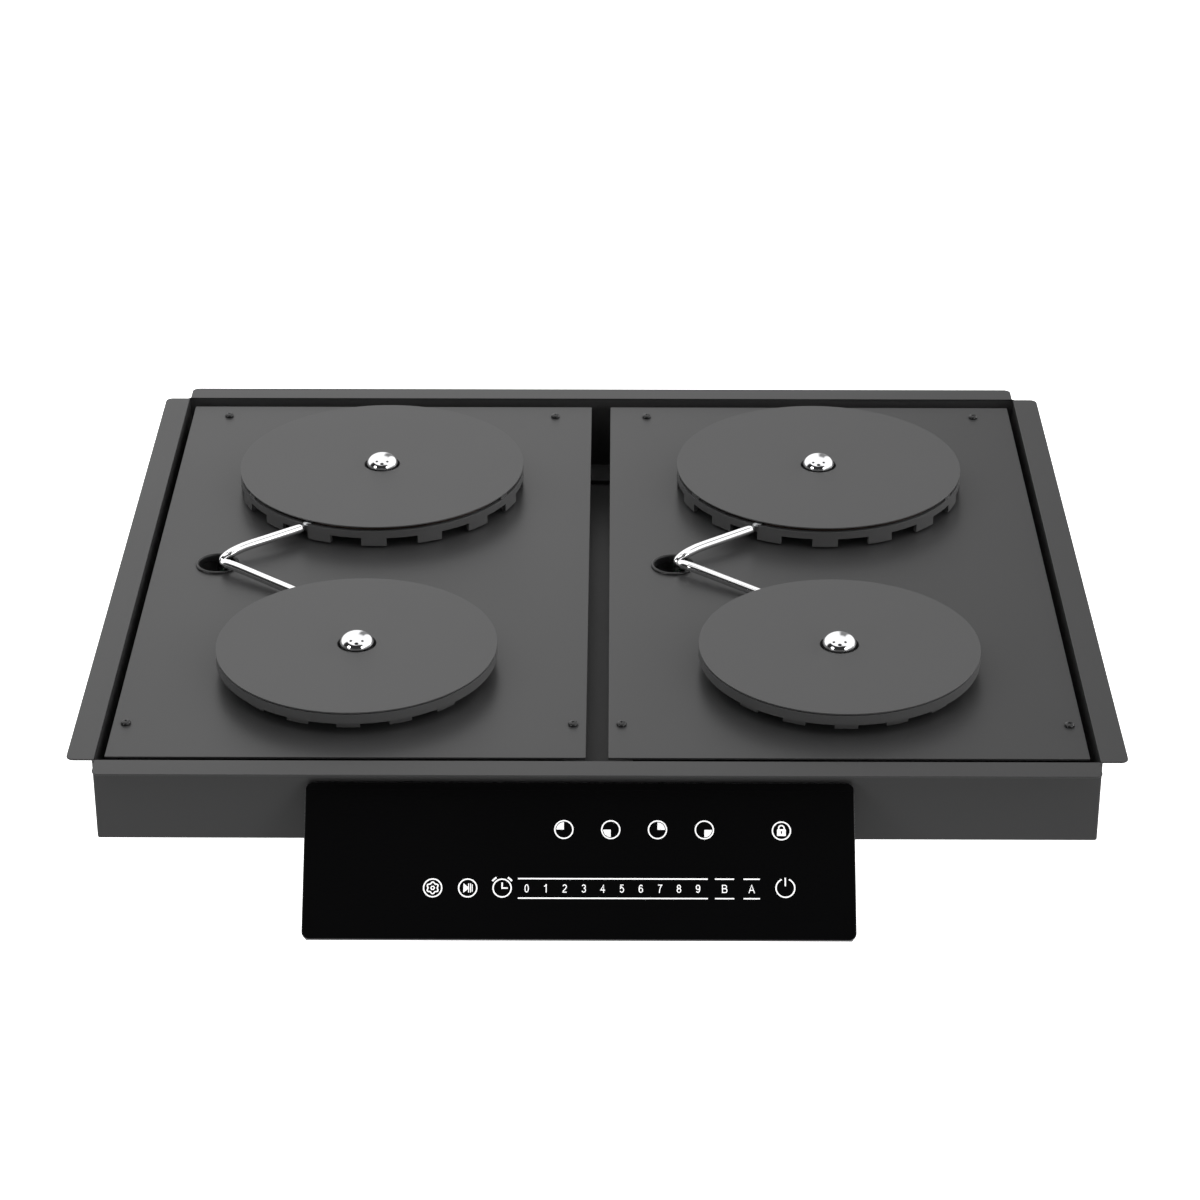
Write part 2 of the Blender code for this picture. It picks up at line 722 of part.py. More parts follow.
def grommet(side):
    """A rubber ring that grips the edge of the plate's cable hole."""
    name = f"grommet_{side}"
    groove = grommet_radius - grommet_groove - hole_gap
    middle = (grommet_radius + grommet_bore) / 2
    profile = [
        (grommet_bore, plate_bottom - grommet_lip), (grommet_radius, plate_bottom - grommet_lip * 0.6),
        (grommet_radius, plate_bottom - touch_gap),
        (groove, plate_bottom - touch_gap), (groove, plate_top + touch_gap),
        (grommet_radius, plate_top + touch_gap), (grommet_radius, plate_top + grommet_lip * 0.6),
        (middle, plate_top + grommet_lip), (grommet_bore, plate_top + grommet_lip * 0.6),
    ]
    spot = (sides[side] + cable_hole_x, cable_hole_y, 0)
    place(name, turned(name, profile, 20), "rubber", spot)


def electronics(side):
    """Power board with its heat sink, on the floor posts of one half of the tray."""
    x = sides[side]
    name = f"power_board_{side}"
    place(name, prism(name, rectangle(*power_board_size), board_bottom, board_top), "circuit_board",
          (x, power_board_y, 0))

    name = f"heat_sink_{side}"
    width, depth, height = sink_size
    outline = [(-width / 2, 0), (width / 2, 0)]
    pitch = (width - fin_sheet) / (fin_count - 1)
    for i in reversed(range(fin_count)):
        left = -width / 2 + i * pitch
        outline += [(left + fin_sheet, height), (left, height)]
        if i:
            outline += [(left, sink_base), (left - pitch + fin_sheet, sink_base)]
    upright = Matrix.Rotation(math.radians(90), 4, "X")
    place(name, prism(name, outline, -depth / 2, depth / 2, upright), "aluminium",
          (x, power_board_y - power_board_size[1] / 2 + depth / 2 + layout_gap, board_top + touch_gap))


def fan(side):
    """An axial fan that stands on the floor over its air slots; the rotor turns on the pin."""
    low = floor_top + touch_gap
    centre = frame_empty(f"fan_axis_{side}", (sides[side], fan_y, low))
    name = f"fan_housing_{side}"
    square = rounded(fan_side, fan_side, fan_corner, corner_steps=3)
    housing = place(name, prism(name, square, 0, fan_depth), "black_plastic", parent=centre)
    bore = prism(name + "_bore", circle(fan_bore, 32), -sheet, fan_depth + sheet)
    combine(housing, helper(name + "_bore", bore, centre), "DIFFERENCE")
    reach = (fan_bore + fan_side / 2) / 2
    for label, size in (("_spoke", (2 * reach, spoke_width)), ("_cross", (spoke_width, 2 * reach))):
        bar = prism(name + label, rectangle(*size), spoke_lift, spoke_height)
        combine(housing, helper(name + label, bar, centre), "UNION")
    boss_height, boss_radius = spoke_height + rotor_margin, hub_radius - rotor_margin
    pin_top = fan_depth * pin_share
    boss = [
        (0, spoke_lift), (boss_radius, spoke_lift), (boss_radius, boss_height),
        (pin_radius, boss_height), (pin_radius, pin_top), (0, pin_top),
    ]
    combine(housing, helper(name + "_boss", turned(name + "_boss", boss, 16), centre), "UNION")

    name = f"fan_rotor_{side}"
    rotor_low, rotor_high = boss_height + touch_gap, fan_depth - rotor_margin
    bore_radius = pin_radius + hole_gap
    hub = [
        (bore_radius, rotor_low), (hub_radius, rotor_low), (hub_radius, rotor_high), (0, rotor_high),
        (0, pin_top + touch_gap), (bore_radius, pin_top + touch_gap),
    ]
    rotor = place(name, turned(name, hub, 20), "black_plastic", parent=centre)
    blades = bmesh.new()
    lift = (rotor_low + rotor_high) / 2
    span = (rotor_high - rotor_low - 2 * rotor_margin) / math.sin(math.radians(blade_pitch))
    for i in range(blade_count):
        turn = Matrix.Rotation(2 * math.pi * i / blade_count, 4, "Z")
        tilt = Matrix.Rotation(math.radians(blade_pitch), 4, "X")
        shift = Matrix.Translation((0, 0, lift))
        start = hub_radius - rotor_margin
        reach = math.sqrt(rotor_radius**2 - (span / 2 * math.cos(math.radians(blade_pitch))) ** 2)
        blade = rectangle(reach - start, span, ((reach + start) / 2, 0))
        add_prism(blades, blade, -blade_sheet / 2, blade_sheet / 2, turn @ shift @ tilt)
    combine(rotor, helper(name + "_blades", mesh_from(blades, name + "_blades"), centre), "UNION")


def mains_inlet():
    """Filter board, terminal block and the bush that the mains cord comes in through."""
    place("filter_board", prism("filter_board", rectangle(*filter_board_size), board_bottom, board_top),
          "circuit_board", (sides["right"], filter_board_y, 0))

    width, depth, height = terminal_size
    pitch = width / terminal_count
    outline = [(width / 2, 0), (width / 2, height)]
    for i in range(terminal_count - 1, 0, -1):
        x = -width / 2 + i * pitch
        left, right = x - terminal_groove / 2, x + terminal_groove / 2
        foot = height * (1 - terminal_groove_share)
        outline += [(right, height), (right, foot), (left, foot), (left, height)]
    outline += [(-width / 2, height), (-width / 2, 0)]
    upright = Matrix.Rotation(math.radians(90), 4, "X")
    place("terminal_block", prism("terminal_block", outline, -depth / 2, depth / 2, upright), "nylon",
          (gland_x, filter_board_y, floor_top + touch_gap))

    wall = opening_depth / 2
    lip, face = gland_neck + gland_lip, wall + sheet
    profile = [
        (gland_bore, wall - gland_inside), (gland_neck, wall - gland_inside),
        (lip, wall - gland_inside / 2), (lip, wall - touch_gap), (gland_neck, wall - touch_gap),
        (gland_neck, face + touch_gap), (gland_flange, face + touch_gap),
        (gland_flange, face + gland_flange_sheet), (gland_neck, face + gland_outside),
        (gland_bore, face + gland_outside),
    ]
    place("cable_gland", turned("cable_gland", profile, 16), "rubber", (gland_x, 0, -gland_height),
          (math.radians(-90), 0, 0))


def console_frame():
    """Origin on the top front edge of the glass, Y up the slope, Z out of the glass."""
    lean = math.radians(90 - console_tilt)
    y = wall_front - touch_gap - glass_sheet * math.sin(lean)
    return lean, Vector((console_offset, y, -console_drop))


def wall_line(z):
    """How far up the slope the console reaches at depth z before it meets the tray."""
    lean, top = console_frame()
    return (wall_front - touch_gap - top.y + z * math.sin(lean)) / math.cos(lean)


def cable_drop():
    """Depth below the flanges at which the console's cable passes the tray wall."""
    lean, top = console_frame()
    back = -(glass_sheet + touch_gap + housing_depth)
    lowest = top.z + wall_line(back) * math.sin(lean) + back * math.cos(lean)
    return -(lowest + cable_hole_rise)


def bracket_screw_drop():
    """Depth below the flanges of the screws that hold the console's bracket."""
    return tray_height - bracket_upright / 2


def bracket_screw_places():
    return [console_offset + s * bracket_screw_spacing / 2 for s in (-1, 1)]


def console(screw, wall_screw):
    """Glass, housing and touch board on a slope, and the bracket and screws that hold them."""
    lean, top = console_frame()
    centre = frame_empty("console_frame", top, (lean, 0, 0))
    middle = (0, -console_height / 2)
    glass = rounded(console_width, console_height, glass_corner, middle, corner_steps=5)
    place("console_glass", prism("console_glass", glass, -glass_sheet, 0), "console_glass", parent=centre)

    front = -glass_sheet - touch_gap
    back = front - housing_depth
    low = -console_height + housing_inset
    half = console_width / 2 - housing_inset
    outline = [
        (min(wall_line(front), -housing_inset), front), (wall_line(back), back),
        (low + housing_chamfer, back), (low, back + housing_chamfer), (low, front),
    ]
    if wall_line(front) > -housing_inset:
        corner = -housing_inset
        rise = (corner - wall_line(front)) / (wall_line(back) - wall_line(front)) * (back - front)
        outline.insert(1, (corner, front + rise))
    housing = place("console_housing", prism("console_housing", outline, -half, half, across_x()),
                    "black_plastic", parent=centre)
    cuts = bmesh.new()
    floor = back + housing_wall
    seat = front - seat_depth
    # A shallow pocket seats the touch board, over a deeper well for its parts and cable.
    pocket_top = wall_line(seat) - 2 * housing_wall
    pocket = [(pocket_top, seat), (low + housing_wall, seat), (low + housing_wall, 0), (pocket_top, 0)]
    add_prism(cuts, pocket, -half + housing_wall, half - housing_wall, across_x())
    combine(housing, helper("console_pocket", mesh_from(cuts, "console_pocket"), centre), "DIFFERENCE")
    wells = bmesh.new()
    well_top, well_low = wall_line(floor) - 2 * housing_wall, low + ledge
    opening = seat + touch_gap
    well = [(well_top, floor), (well_low, floor), (well_low, opening), (well_top, opening)]
    add_prism(wells, well, -half + ledge, half - ledge, across_x())
    combine(housing, helper("console_well", mesh_from(wells, "console_well"), centre), "DIFFERENCE")
    holes = bmesh.new()
    add_prism(holes, circle(cable_radius + cable_hole_gap, 12, (cable_side, cable_drop())),
              wall_front - 14 * mm, wall_front + 1 * mm, across_y())
    combine(housing, helper("console_cable_hole", mesh_from(holes, "console_cable_hole")), "DIFFERENCE")

    width = 2 * half - 2 * board_margin
    depth = pocket_top - low - housing_wall - 2 * hole_gap
    board_middle = (0, (pocket_top + low + housing_wall) / 2)
    board_low = seat + touch_gap
    outline = rectangle(width, depth, board_middle)
    board = prism("console_board", outline, board_low, board_low + board_sheet)
    place("console_board", board, "circuit_board", parent=centre)

    console_bracket(centre, lean, top, back, screw, wall_screw)
    console_cable(lean, top, board_low)


def console_bracket(centre, lean, top, back, screw, wall_screw):
    """A bent plate: one leg screwed to the tray's wall, the other under the housing."""
    wall = wall_front - touch_gap
    under = back - touch_gap
    start = (wall - top.y + under * math.sin(lean)) / math.cos(lean)
    turn = Vector((0, math.cos(lean), math.sin(lean)))
    normal = Vector((0, -math.sin(lean), math.cos(lean)))
    heel = top + turn * start + normal * under
    toe = heel - turn * bracket_reach
    low = -tray_height
    inner_heel = heel - Vector((0, bracket_sheet, bracket_sheet * (1 + math.sin(lean)) / math.cos(lean)))
    inner_toe = toe - normal * bracket_sheet
    outline = [
        (wall, low), (wall, heel.z), (toe.y, toe.z), (inner_toe.y, inner_toe.z),
        (wall - bracket_sheet, inner_heel.z), (wall - bracket_sheet, low),
    ]
    half = bracket_width / 2
    bracket = place("console_bracket", prism("console_bracket", outline, -half, half, across_x()),
                    "coated_steel", (console_offset, 0, 0))
    holes = bmesh.new()
    for x in bracket_screw_places():
        hole = circle(screw_radius + hole_gap, 8, (x, bracket_screw_drop()))
        add_prism(holes, hole, wall_front - 4 * mm, wall_front + 4 * mm, across_y())
    combine(bracket, helper("bracket_holes", mesh_from(holes, "bracket_holes")), "DIFFERENCE")
    slope_y = start - bracket_reach * 0.7
    slope_holes = bmesh.new()
    for s in (-1, 1):
        spot = (s * bracket_screw_spacing / 2, slope_y)
        add_prism(slope_holes, circle(screw_radius + hole_gap, 8, spot), back - 6 * mm,
                  back + housing_wall + 1 * mm)
    cutter = helper("slope_holes", mesh_from(slope_holes, "slope_holes"), centre)
    combine(bracket, cutter, "DIFFERENCE")
    combine(bpy.data.objects["console_housing"], cutter, "DIFFERENCE")
    for side, x in zip(("left", "right"), bracket_screw_places()):
        place(f"wall_screw_{side}", wall_screw, "black_screw",
              (x, -opening_depth / 2 + touch_gap, -bracket_screw_drop()), (math.radians(-90), 0, 0))
        place(f"console_screw_{side}", screw, "black_screw",
              (x - console_offset, slope_y, under - bracket_sheet - touch_gap), (math.pi, 0, 0), centre)


def console_cable(lean, top, board_low):
    """The lead from the touch board through the tray wall to the left power board."""
    def behind_board(down, sink):
        z = board_low - cable_radius - 2 * touch_gap - sink
        return Vector((
            cable_side,
            top.y - down * math.cos(lean) - z * math.sin(lean),
            top.z - down * math.sin(lean) + z * math.cos(lean),
        ))

    floor_run = floor_top + rail_sheet + 2 * touch_gap + cable_radius + 1 * mm
    board_edge = power_board_y - power_board_size[1] / 2
    on_board = board_top + cable_radius + touch_gap
    knots = [
        behind_board(36 * mm, 0),
        behind_board(24 * mm, 0.2 * mm),
        behind_board(17.5 * mm, 1.1 * mm),
        Vector((cable_side, wall_front + sheet / 2, -cable_drop())),
        Vector((cable_side, wall_front + 14 * mm, -cable_drop() - 4 * mm)),
        Vector((cable_side, front_screw_y - rail_flange * 0.8, floor_run + 1 * mm)),
        Vector((cable_side, front_screw_y + rail_flange, floor_run)),
        Vector((cable_side, fan_y, floor_run)),
        Vector((cable_side, board_edge - 26 * mm, floor_run + 1 * mm)),
        Vector((cable_side, board_edge - 6 * mm, on_board)),
        Vector((cable_side, board_edge + 14 * mm, on_board)),
    ]
    tube("console_cable", smooth_route(knots, 10 * mm), cable_radius, "cable")


def main():
    clear_scene()
    screw = screw_mesh("screw", screw_length)
    wall_screw = screw_mesh("wall_screw", wall_screw_length)
    tray()
    for side in sides:
        coil_plate(side)
        grommet(side)
        electronics(side)
        fan(side)
        for end in coils:
            coil(side, end)
    plate_screws(screw)
    foot = floor_top + rail_sheet
    cable_notch = (cable_notch_width, foot + 1 * mm, foot + cable_notch_width)
    rail("rail_front", front_screw_y, 1, cable_side, cable_notch)
    mains_notch = (mains_notch_width, -gland_height - mains_notch_rise, -gland_height + mains_notch_rise)
    rail("rail_rear", rear_screw_y, -1, gland_x, mains_notch)
    mains_inlet()
    console(screw, wall_screw)


main()
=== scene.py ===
# Induction cooktop with a sloping touch console: finishes, fine shapes, light and camera.
import math

import bmesh
import bpy
from mathutils import Matrix, Vector


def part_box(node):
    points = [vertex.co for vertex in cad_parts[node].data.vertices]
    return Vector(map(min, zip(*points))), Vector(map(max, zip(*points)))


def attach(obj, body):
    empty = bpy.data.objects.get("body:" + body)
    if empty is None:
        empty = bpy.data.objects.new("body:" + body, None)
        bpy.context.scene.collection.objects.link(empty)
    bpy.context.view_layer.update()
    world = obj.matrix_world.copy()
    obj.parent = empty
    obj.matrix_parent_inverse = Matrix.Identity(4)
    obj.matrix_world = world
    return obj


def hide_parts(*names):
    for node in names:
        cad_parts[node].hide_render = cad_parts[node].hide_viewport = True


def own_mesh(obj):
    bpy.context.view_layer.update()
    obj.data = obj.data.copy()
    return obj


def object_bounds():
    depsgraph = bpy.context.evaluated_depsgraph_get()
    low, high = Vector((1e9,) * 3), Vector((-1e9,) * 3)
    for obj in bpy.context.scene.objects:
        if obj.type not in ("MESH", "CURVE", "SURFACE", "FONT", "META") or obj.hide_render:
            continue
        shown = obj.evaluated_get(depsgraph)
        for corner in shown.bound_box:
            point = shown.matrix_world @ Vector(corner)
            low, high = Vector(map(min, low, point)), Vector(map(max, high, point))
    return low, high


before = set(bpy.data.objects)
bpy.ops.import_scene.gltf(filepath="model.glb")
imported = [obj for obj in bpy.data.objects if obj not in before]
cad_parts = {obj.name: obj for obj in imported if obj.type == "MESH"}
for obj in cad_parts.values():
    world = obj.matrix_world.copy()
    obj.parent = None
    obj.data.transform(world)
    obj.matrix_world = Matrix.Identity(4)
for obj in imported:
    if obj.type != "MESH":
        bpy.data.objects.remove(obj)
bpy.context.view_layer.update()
mm = 0.001
clearance = 0.3 * mm        # between neighbouring pieces
screwHole, cableHole = 1.8 * mm, 4.7 * mm        # radii
sides, ends = ("left", "right"), ("rear", "front")
print("frame loaded:", len(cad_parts), "nodes")


# Outlines are lists of (x, y), anticlockwise.
def circleLine(radius, count=48, middle=(0, 0)):
    turns = [2 * math.pi * i / count for i in range(count)]
    return [(middle[0] + radius * math.cos(a), middle[1] + radius * math.sin(a)) for a in turns]


def arcLine(radius, start, stop, count=16, middle=(0, 0)):
    turns = [math.radians(start + (stop - start) * i / count) for i in range(count + 1)]
    return [(middle[0] + radius * math.cos(a), middle[1] + radius * math.sin(a)) for a in turns]


def boxLine(width, depth, middle=(0, 0), radius=0.0, count=5, corners=(0, 1, 2, 3)):
    line = []
    for corner, (sx, sy) in enumerate(((1, 1), (-1, 1), (-1, -1), (1, -1))):
        bend = radius if corner in corners else 0
        spot = (middle[0] + sx * (width / 2 - bend), middle[1] + sy * (depth / 2 - bend))
        line += arcLine(bend, 90 * corner, 90 * corner + 90, count, spot) if bend else [spot]
    return line


def turned(degrees, axis="Z"):
    return Matrix.Rotation(math.radians(degrees), 4, axis)


def above(spot):
    # straight over or under a spot
    return Matrix.Translation((spot.x, spot.y, 0))


def quarterTurn(count):
    return [math.pi / 2 * i / count for i in range(count + 1)]


def soften(line, radius, count=3):
    # rounds each corner of a closed line, and leaves points on the axis alone
    result = []
    for i, corner in enumerate(line):
        if corner[0] == 0:
            result.append(corner)
            continue
        here, before, after = Vector(corner), Vector(line[i - 1]), Vector(line[(i + 1) % len(line)])
        bend = min(radius, (before - here).length * 0.45, (after - here).length * 0.45)
        start = here + (before - here).normalized() * bend
        stop = here + (after - here).normalized() * bend
        for step in range(count + 1):
            t = step / count
            result.append(tuple(start * (1 - t) ** 2 + here * 2 * t * (1 - t) + stop * t * t))
    return result


def shrink(line, amount):
    result = []
    for i, corner in enumerate(line):
        here, before, after = Vector(corner), Vector(line[i - 1]), Vector(line[(i + 1) % len(line)])
        along, onward = (here - before).normalized(), (after - here).normalized()
        inA, inB = Vector((-along.y, along.x)), Vector((-onward.y, onward.x))
        result.append(tuple(here + (inA + inB) * amount / max(0.3, 1 + inA.dot(inB))))
    return result


def ring(shape, line, height, turn=None):
    points = [Vector((x, y, height)) for x, y in line]
    return [shape.verts.new(turn @ p if turn else p) for p in points]


def skin(shape, rings, closed=False):
    # joins neighbouring rings of the same length with faces
    pairs = list(zip(rings, rings[1:])) + ([(rings[-1], rings[0])] if closed else [])
    for near, far in pairs:
        for k in range(len(near)):
            m = (k + 1) % len(near)
            corners = list(dict.fromkeys((near[k], near[m], far[m], far[k])))
            if len(corners) > 2:
                shape.faces.new(corners)


def tube(shape, rings):
    # the skin of its rings with both ends filled
    skin(shape, rings)
    shape.faces.new(reversed(rings[0]))
    shape.faces.new(rings[-1])


def edgeSteps(low, high, edge, count):
    # (shrink, height) up the side of a block with rounded edges
    foot = [(edge * (1 - math.sin(a)), low + edge * (1 - math.cos(a))) for a in quarterTurn(count)]
    return foot + [(s, low + high - z) for s, z in reversed(foot)]


def block(shape, line, low, high, edge=0.3 * mm, count=2, turn=None):
    # a prism with rounded edges
    if edge:
        rings = [ring(shape, shrink(line, s), z, turn) for s, z in edgeSteps(low, high, edge, count)]
    else:
        rings = [ring(shape, line, low, turn), ring(shape, line, high, turn)]
    tube(shape, rings)


def pierced(shape, line, holes, low, high, edge=0.2 * mm, count=2, turn=None):
    # a flat sheet with holes through it
    rings = [ring(shape, shrink(line, s), z, turn) for s, z in edgeSteps(low, high, edge, count)]
    skin(shape, rings)
    loops = [[rings[0]], [rings[-1]]]
    for hole in holes:
        walls = [ring(shape, hole, low, turn), ring(shape, hole, high, turn)]
        skin(shape, walls)
        for loop, wall in zip(loops, walls):
            loop.append(wall)
    for loop in loops:
        edges = []
        for points in loop:
            for k in range(len(points)):
                edges.append(shape.edges.get((points[k - 1], points[k])))
        bmesh.ops.triangle_fill(shape, use_beauty=True, use_dissolve=False, edges=edges)


def lathe(shape, profile, count=64, turn=None):
    # turns a closed profile of (radius, height) about Z
    rings = []
    for radius, height in profile:
        if radius < 1e-7:
            spot = Vector((0, 0, height))
            rings.append([shape.verts.new(turn @ spot if turn else spot)] * count)
        else:
            rings.append(ring(shape, circleLine(radius, count), height, turn))
    skin(shape, rings, closed=True)


def smoothRoute(knots, spacing):
    ends = [knots[0] * 2 - knots[1], *knots, knots[-1] * 2 - knots[-2]]
    points = []
    for before, start, stop, after in zip(ends, ends[1:], ends[2:], ends[3:]):
        count = max(1, round((stop - start).length / spacing))
        for step in range(count):
            t = step / count
            points.append(0.5 * (2 * start + (stop - before) * t
                                 + (2 * before - 5 * start + 4 * stop - after) * t ** 2
                                 + (3 * start - before - 3 * stop + after) * t ** 3))
    return [*points, knots[-1]]


def hose(shape, route, radius, count=16, roundEnds=False):
    # a tube along a route, its frame carried along so that it doesn't twist
    tangents = []
    for i in range(len(route)):
        tangents.append((route[min(i + 1, len(route) - 1)] - route[max(i - 1, 0)]).normalized())
    across = tangents[0].orthogonal().normalized()
    rings, stations = [], []
    quarter = quarterTurn(5)[1:] if roundEnds else []
    for i, (spot, along) in enumerate(zip(route, tangents)):
        across = (across - along * across.dot(along)).normalized()
        upward = along.cross(across)
        if i == 0:
            stations += [(spot - along * radius * math.sin(a), radius * math.cos(a), across, upward)
                         for a in reversed(quarter)]
        stations.append((spot, radius, across, upward))
        if i == len(route) - 1:
            stations += [(spot + along * radius * math.sin(a), radius * math.cos(a), across, upward)
                         for a in quarter]
    for spot, size, sideways, upward in stations:
        size = max(size, radius * 0.02)
        turns = [2 * math.pi * k / count for k in range(count)]
        rings.append([shape.verts.new(spot + (sideways * math.cos(a) + upward * math.sin(a)) * size)
                      for a in turns])
    tube(shape, rings)


def ribbon(shape, line, width, low, high, closed=False):
    # a flat stroke of even width along a line
    points = [Vector(p) for p in line]
    left, right = [], []
    for i, here in enumerate(points):
        before = points[i - 1] if closed or i else here
        after = points[(i + 1) % len(points)] if closed or i + 1 < len(points) else here
        along, onward = (here - before).normalized(), (after - here).normalized()
        along, onward = along if along.length else onward, onward if onward.length else along
        inA, inB = Vector((-along.y, along.x)), Vector((-onward.y, onward.x))
        reach = (inA + inB) * width / 2 / max(0.35, 1 + inA.dot(inB))
        left.append(tuple(here + reach))
        right.append(tuple(here - reach))
    if closed:
        walls = [ring(shape, right, low), ring(shape, right, high), ring(shape, left, high), ring(shape, left, low)]
        skin(shape, walls, closed=True)
    else:
        block(shape, right + left[::-1], low, high, 0)


def meshOf(shape, name, sharp=35):
    bmesh.ops.recalc_face_normals(shape, faces=shape.faces[:])
    mesh = bpy.data.meshes.new(name)
    shape.to_mesh(mesh)
    shape.free()
    mesh.shade_smooth()
    mesh.set_sharp_from_angle(angle=math.radians(sharp))
    return mesh


def show(name, content):
    thing = bpy.data.objects.new(name, content)
    bpy.context.scene.collection.objects.link(thing)
    return thing


def carve(mesh, cutters):
    # the mesh less its cutters, as a new mesh
    solid = show(mesh.name, mesh)
    tools = []
    for cutter in cutters:
        tool = show(mesh.name + "_tool", cutter)
        cut = solid.modifiers.new("cut", "BOOLEAN")
        cut.operation, cut.solver, cut.object = "DIFFERENCE", "EXACT", tool
        tools.append(tool)
    bpy.context.view_layer.update()
    graph = bpy.context.evaluated_depsgraph_get()
    result = bpy.data.meshes.new_from_object(solid.evaluated_get(graph))
    for old in [solid, *tools]:
        bpy.data.objects.remove(old)
    result.shade_smooth()
    result.set_sharp_from_angle(angle=math.radians(35))
    print(result.name, "carved:", len(result.vertices), "points")
    return result


def addPiece(name, mesh, finish, nodes=(), body="chassis", place=None, sharp=35, baked=False, even=True):
    if isinstance(mesh, bmesh.types.BMesh):
        mesh = meshOf(mesh, name, sharp)
    elif mesh.users:
        mesh = mesh.copy()        # every piece has a mesh of its own
    piece = show(name, mesh)
    if place is not None and baked:
        mesh.transform(place)
    elif place is not None:
        piece.matrix_world = place
    if not mesh.materials:
        mesh.materials.append(finishes[finish])
    if even:
        # flat faces stay flat beside their small rounded edges
        shading = piece.modifiers.new("evenShading", "WEIGHTED_NORMAL")
        shading.mode, shading.weight, shading.keep_sharp = "FACE_AREA", 50, True
    if nodes:
        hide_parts(*nodes)
    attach(piece, body)
    return piece


def keepNode(node, finish):
    # a CAD piece whose shape is right gets its finish
    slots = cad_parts[node].data.materials
    slots.clear()
    slots.append(finishes[finish])
    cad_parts[node].data.shade_smooth()
    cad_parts[node].data.set_sharp_from_angle(angle=math.radians(30))


def middleOf(node):
    low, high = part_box(node)
    return (low + high) / 2


def cableLine(wallY, reach):
    # outline round the console's cable where it crosses a wall
    cable = [v.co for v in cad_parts["console_cable"].data.vertices if abs(v.co.y - wallY) < reach]
    return circleLine(cableHole, 24, (cable[0].x, -sum(p.z for p in cable) / len(cable)))


class Value:
    # a socket that sums can be written on
    def __init__(self, finish, socket):
        self.finish, self.socket = finish, socket

    def sum(self, operation, *values):
        return self.finish.add("ShaderNodeMath", {"operation": operation}, dict(enumerate(values)))

    def __add__(self, other):
        return self.sum("ADD", self, other)

    def __rsub__(self, other):
        return self.sum("SUBTRACT", other, self)

    def __mul__(self, other):
        return self.sum("MULTIPLY", self, other)

    def wave(self):
        return self.sum("SINE", self)

    __radd__, __rmul__ = __add__, __mul__


class Wiring:
    # builds a tree of shader nodes
    def __init__(self, tree, shader):
        self.tree, self.shader = tree, tree.nodes[shader]

    def fill(self, node, values):
        for key, value in values.items():
            if isinstance(value, Value):
                self.tree.links.new(value.socket, node.inputs[key])
            else:
                node.inputs[key].default_value = value

    def add(self, kind, settings=None, values=None, output=0):
        node = self.tree.nodes.new(kind)
        for key, value in (settings or {}).items():
            if key == "stops":
                ramp = node.color_ramp
                while len(ramp.elements) < len(value):
                    ramp.elements.new(1.0)
                for element, (spot, colour) in zip(ramp.elements, value):
                    element.position, element.color = spot, colour
            else:
                setattr(node, key, value)
        self.fill(node, values or {})
        return Value(self, node.outputs[output])

    def split(self, vector):
        parts = self.add("ShaderNodeSeparateXYZ", {}, {0: vector})
        return [Value(self, parts.socket.node.outputs[i]) for i in range(3)]

    def ramp(self, source, start, stop, first=0.0, second=1.0):
        return self.add("ShaderNodeMapRange", {"interpolation_type": "SMOOTHSTEP"},
                        {"Value": source, "From Min": start, "From Max": stop, "To Min": first, "To Max": second})


class Finish(Wiring):
    # one Principled material
    def __init__(self, name, colour, roughness, metallic=0.0, **fixed):
        self.material = bpy.data.materials.new(name)
        self.material.use_nodes = True
        super().__init__(self.material.node_tree, "Principled BSDF")
        self.colour = colour
        self.fill(self.shader, {"Base Color": (*colour, 1), "Roughness": roughness, "Metallic": metallic})
        self.fill(self.shader, {key.replace("_", " "): value for key, value in fixed.items()})

    def where(self):
        return self.add("ShaderNodeTexCoord", output="Object")

    def noise(self, scale, detail=2.0, roughness=0.5, stretch=None):
        spot = self.where()
        if stretch:
            spot = self.add("ShaderNodeVectorMath", {"operation": "MULTIPLY"}, {0: spot, 1: stretch})
        return self.add("ShaderNodeTexNoise", {}, {"Vector": spot, "Scale": scale, "Detail": detail,
                                                   "Roughness": roughness})

    def mix(self, factor, first, second):
        return self.add("ShaderNodeMix", {"data_type": "RGBA"}, {0: factor, 6: first, 7: second}, 2)

    def shades(self, factor, darker, lighter):
        # base colour that wanders between two multiples of itself
        first = (*[c * darker for c in self.colour], 1)
        second = (*[c * lighter for c in self.colour], 1)
        self.fill(self.shader, {"Base Color": self.mix(factor, first, second)})

    def bump(self, height, strength, distance):
        normal = self.add("ShaderNodeBump", {}, {"Strength": strength, "Distance": distance, "Height": height})
        self.fill(self.shader, {"Normal": normal})


def coatFinish(name, look):
    # powder coat: orange peel, a fine grain and slow changes of tone and gloss
    finish = Finish(name, look["colour"], look["roughness"], Specular_IOR_Level=look.get("gloss", 0.5))
    grain = finish.noise(look["grain"], 2.0, 0.6)
    peel = finish.noise(look["grain"] * 0.22, 1.0)
    cloud = finish.noise(look.get("cloud", 7.0), 2.0)
    finish.shades(cloud * 0.55 + grain * 0.45, 1 - look["shade"], 1 + look["shade"])
    finish.fill(finish.shader, {"Roughness": look["roughness"] - 0.04 + cloud * 0.05 + grain * 0.04})
    finish.bump(peel * 0.6 + grain * 0.4, look["bump"], 0.06 * mm)
    return finish.material


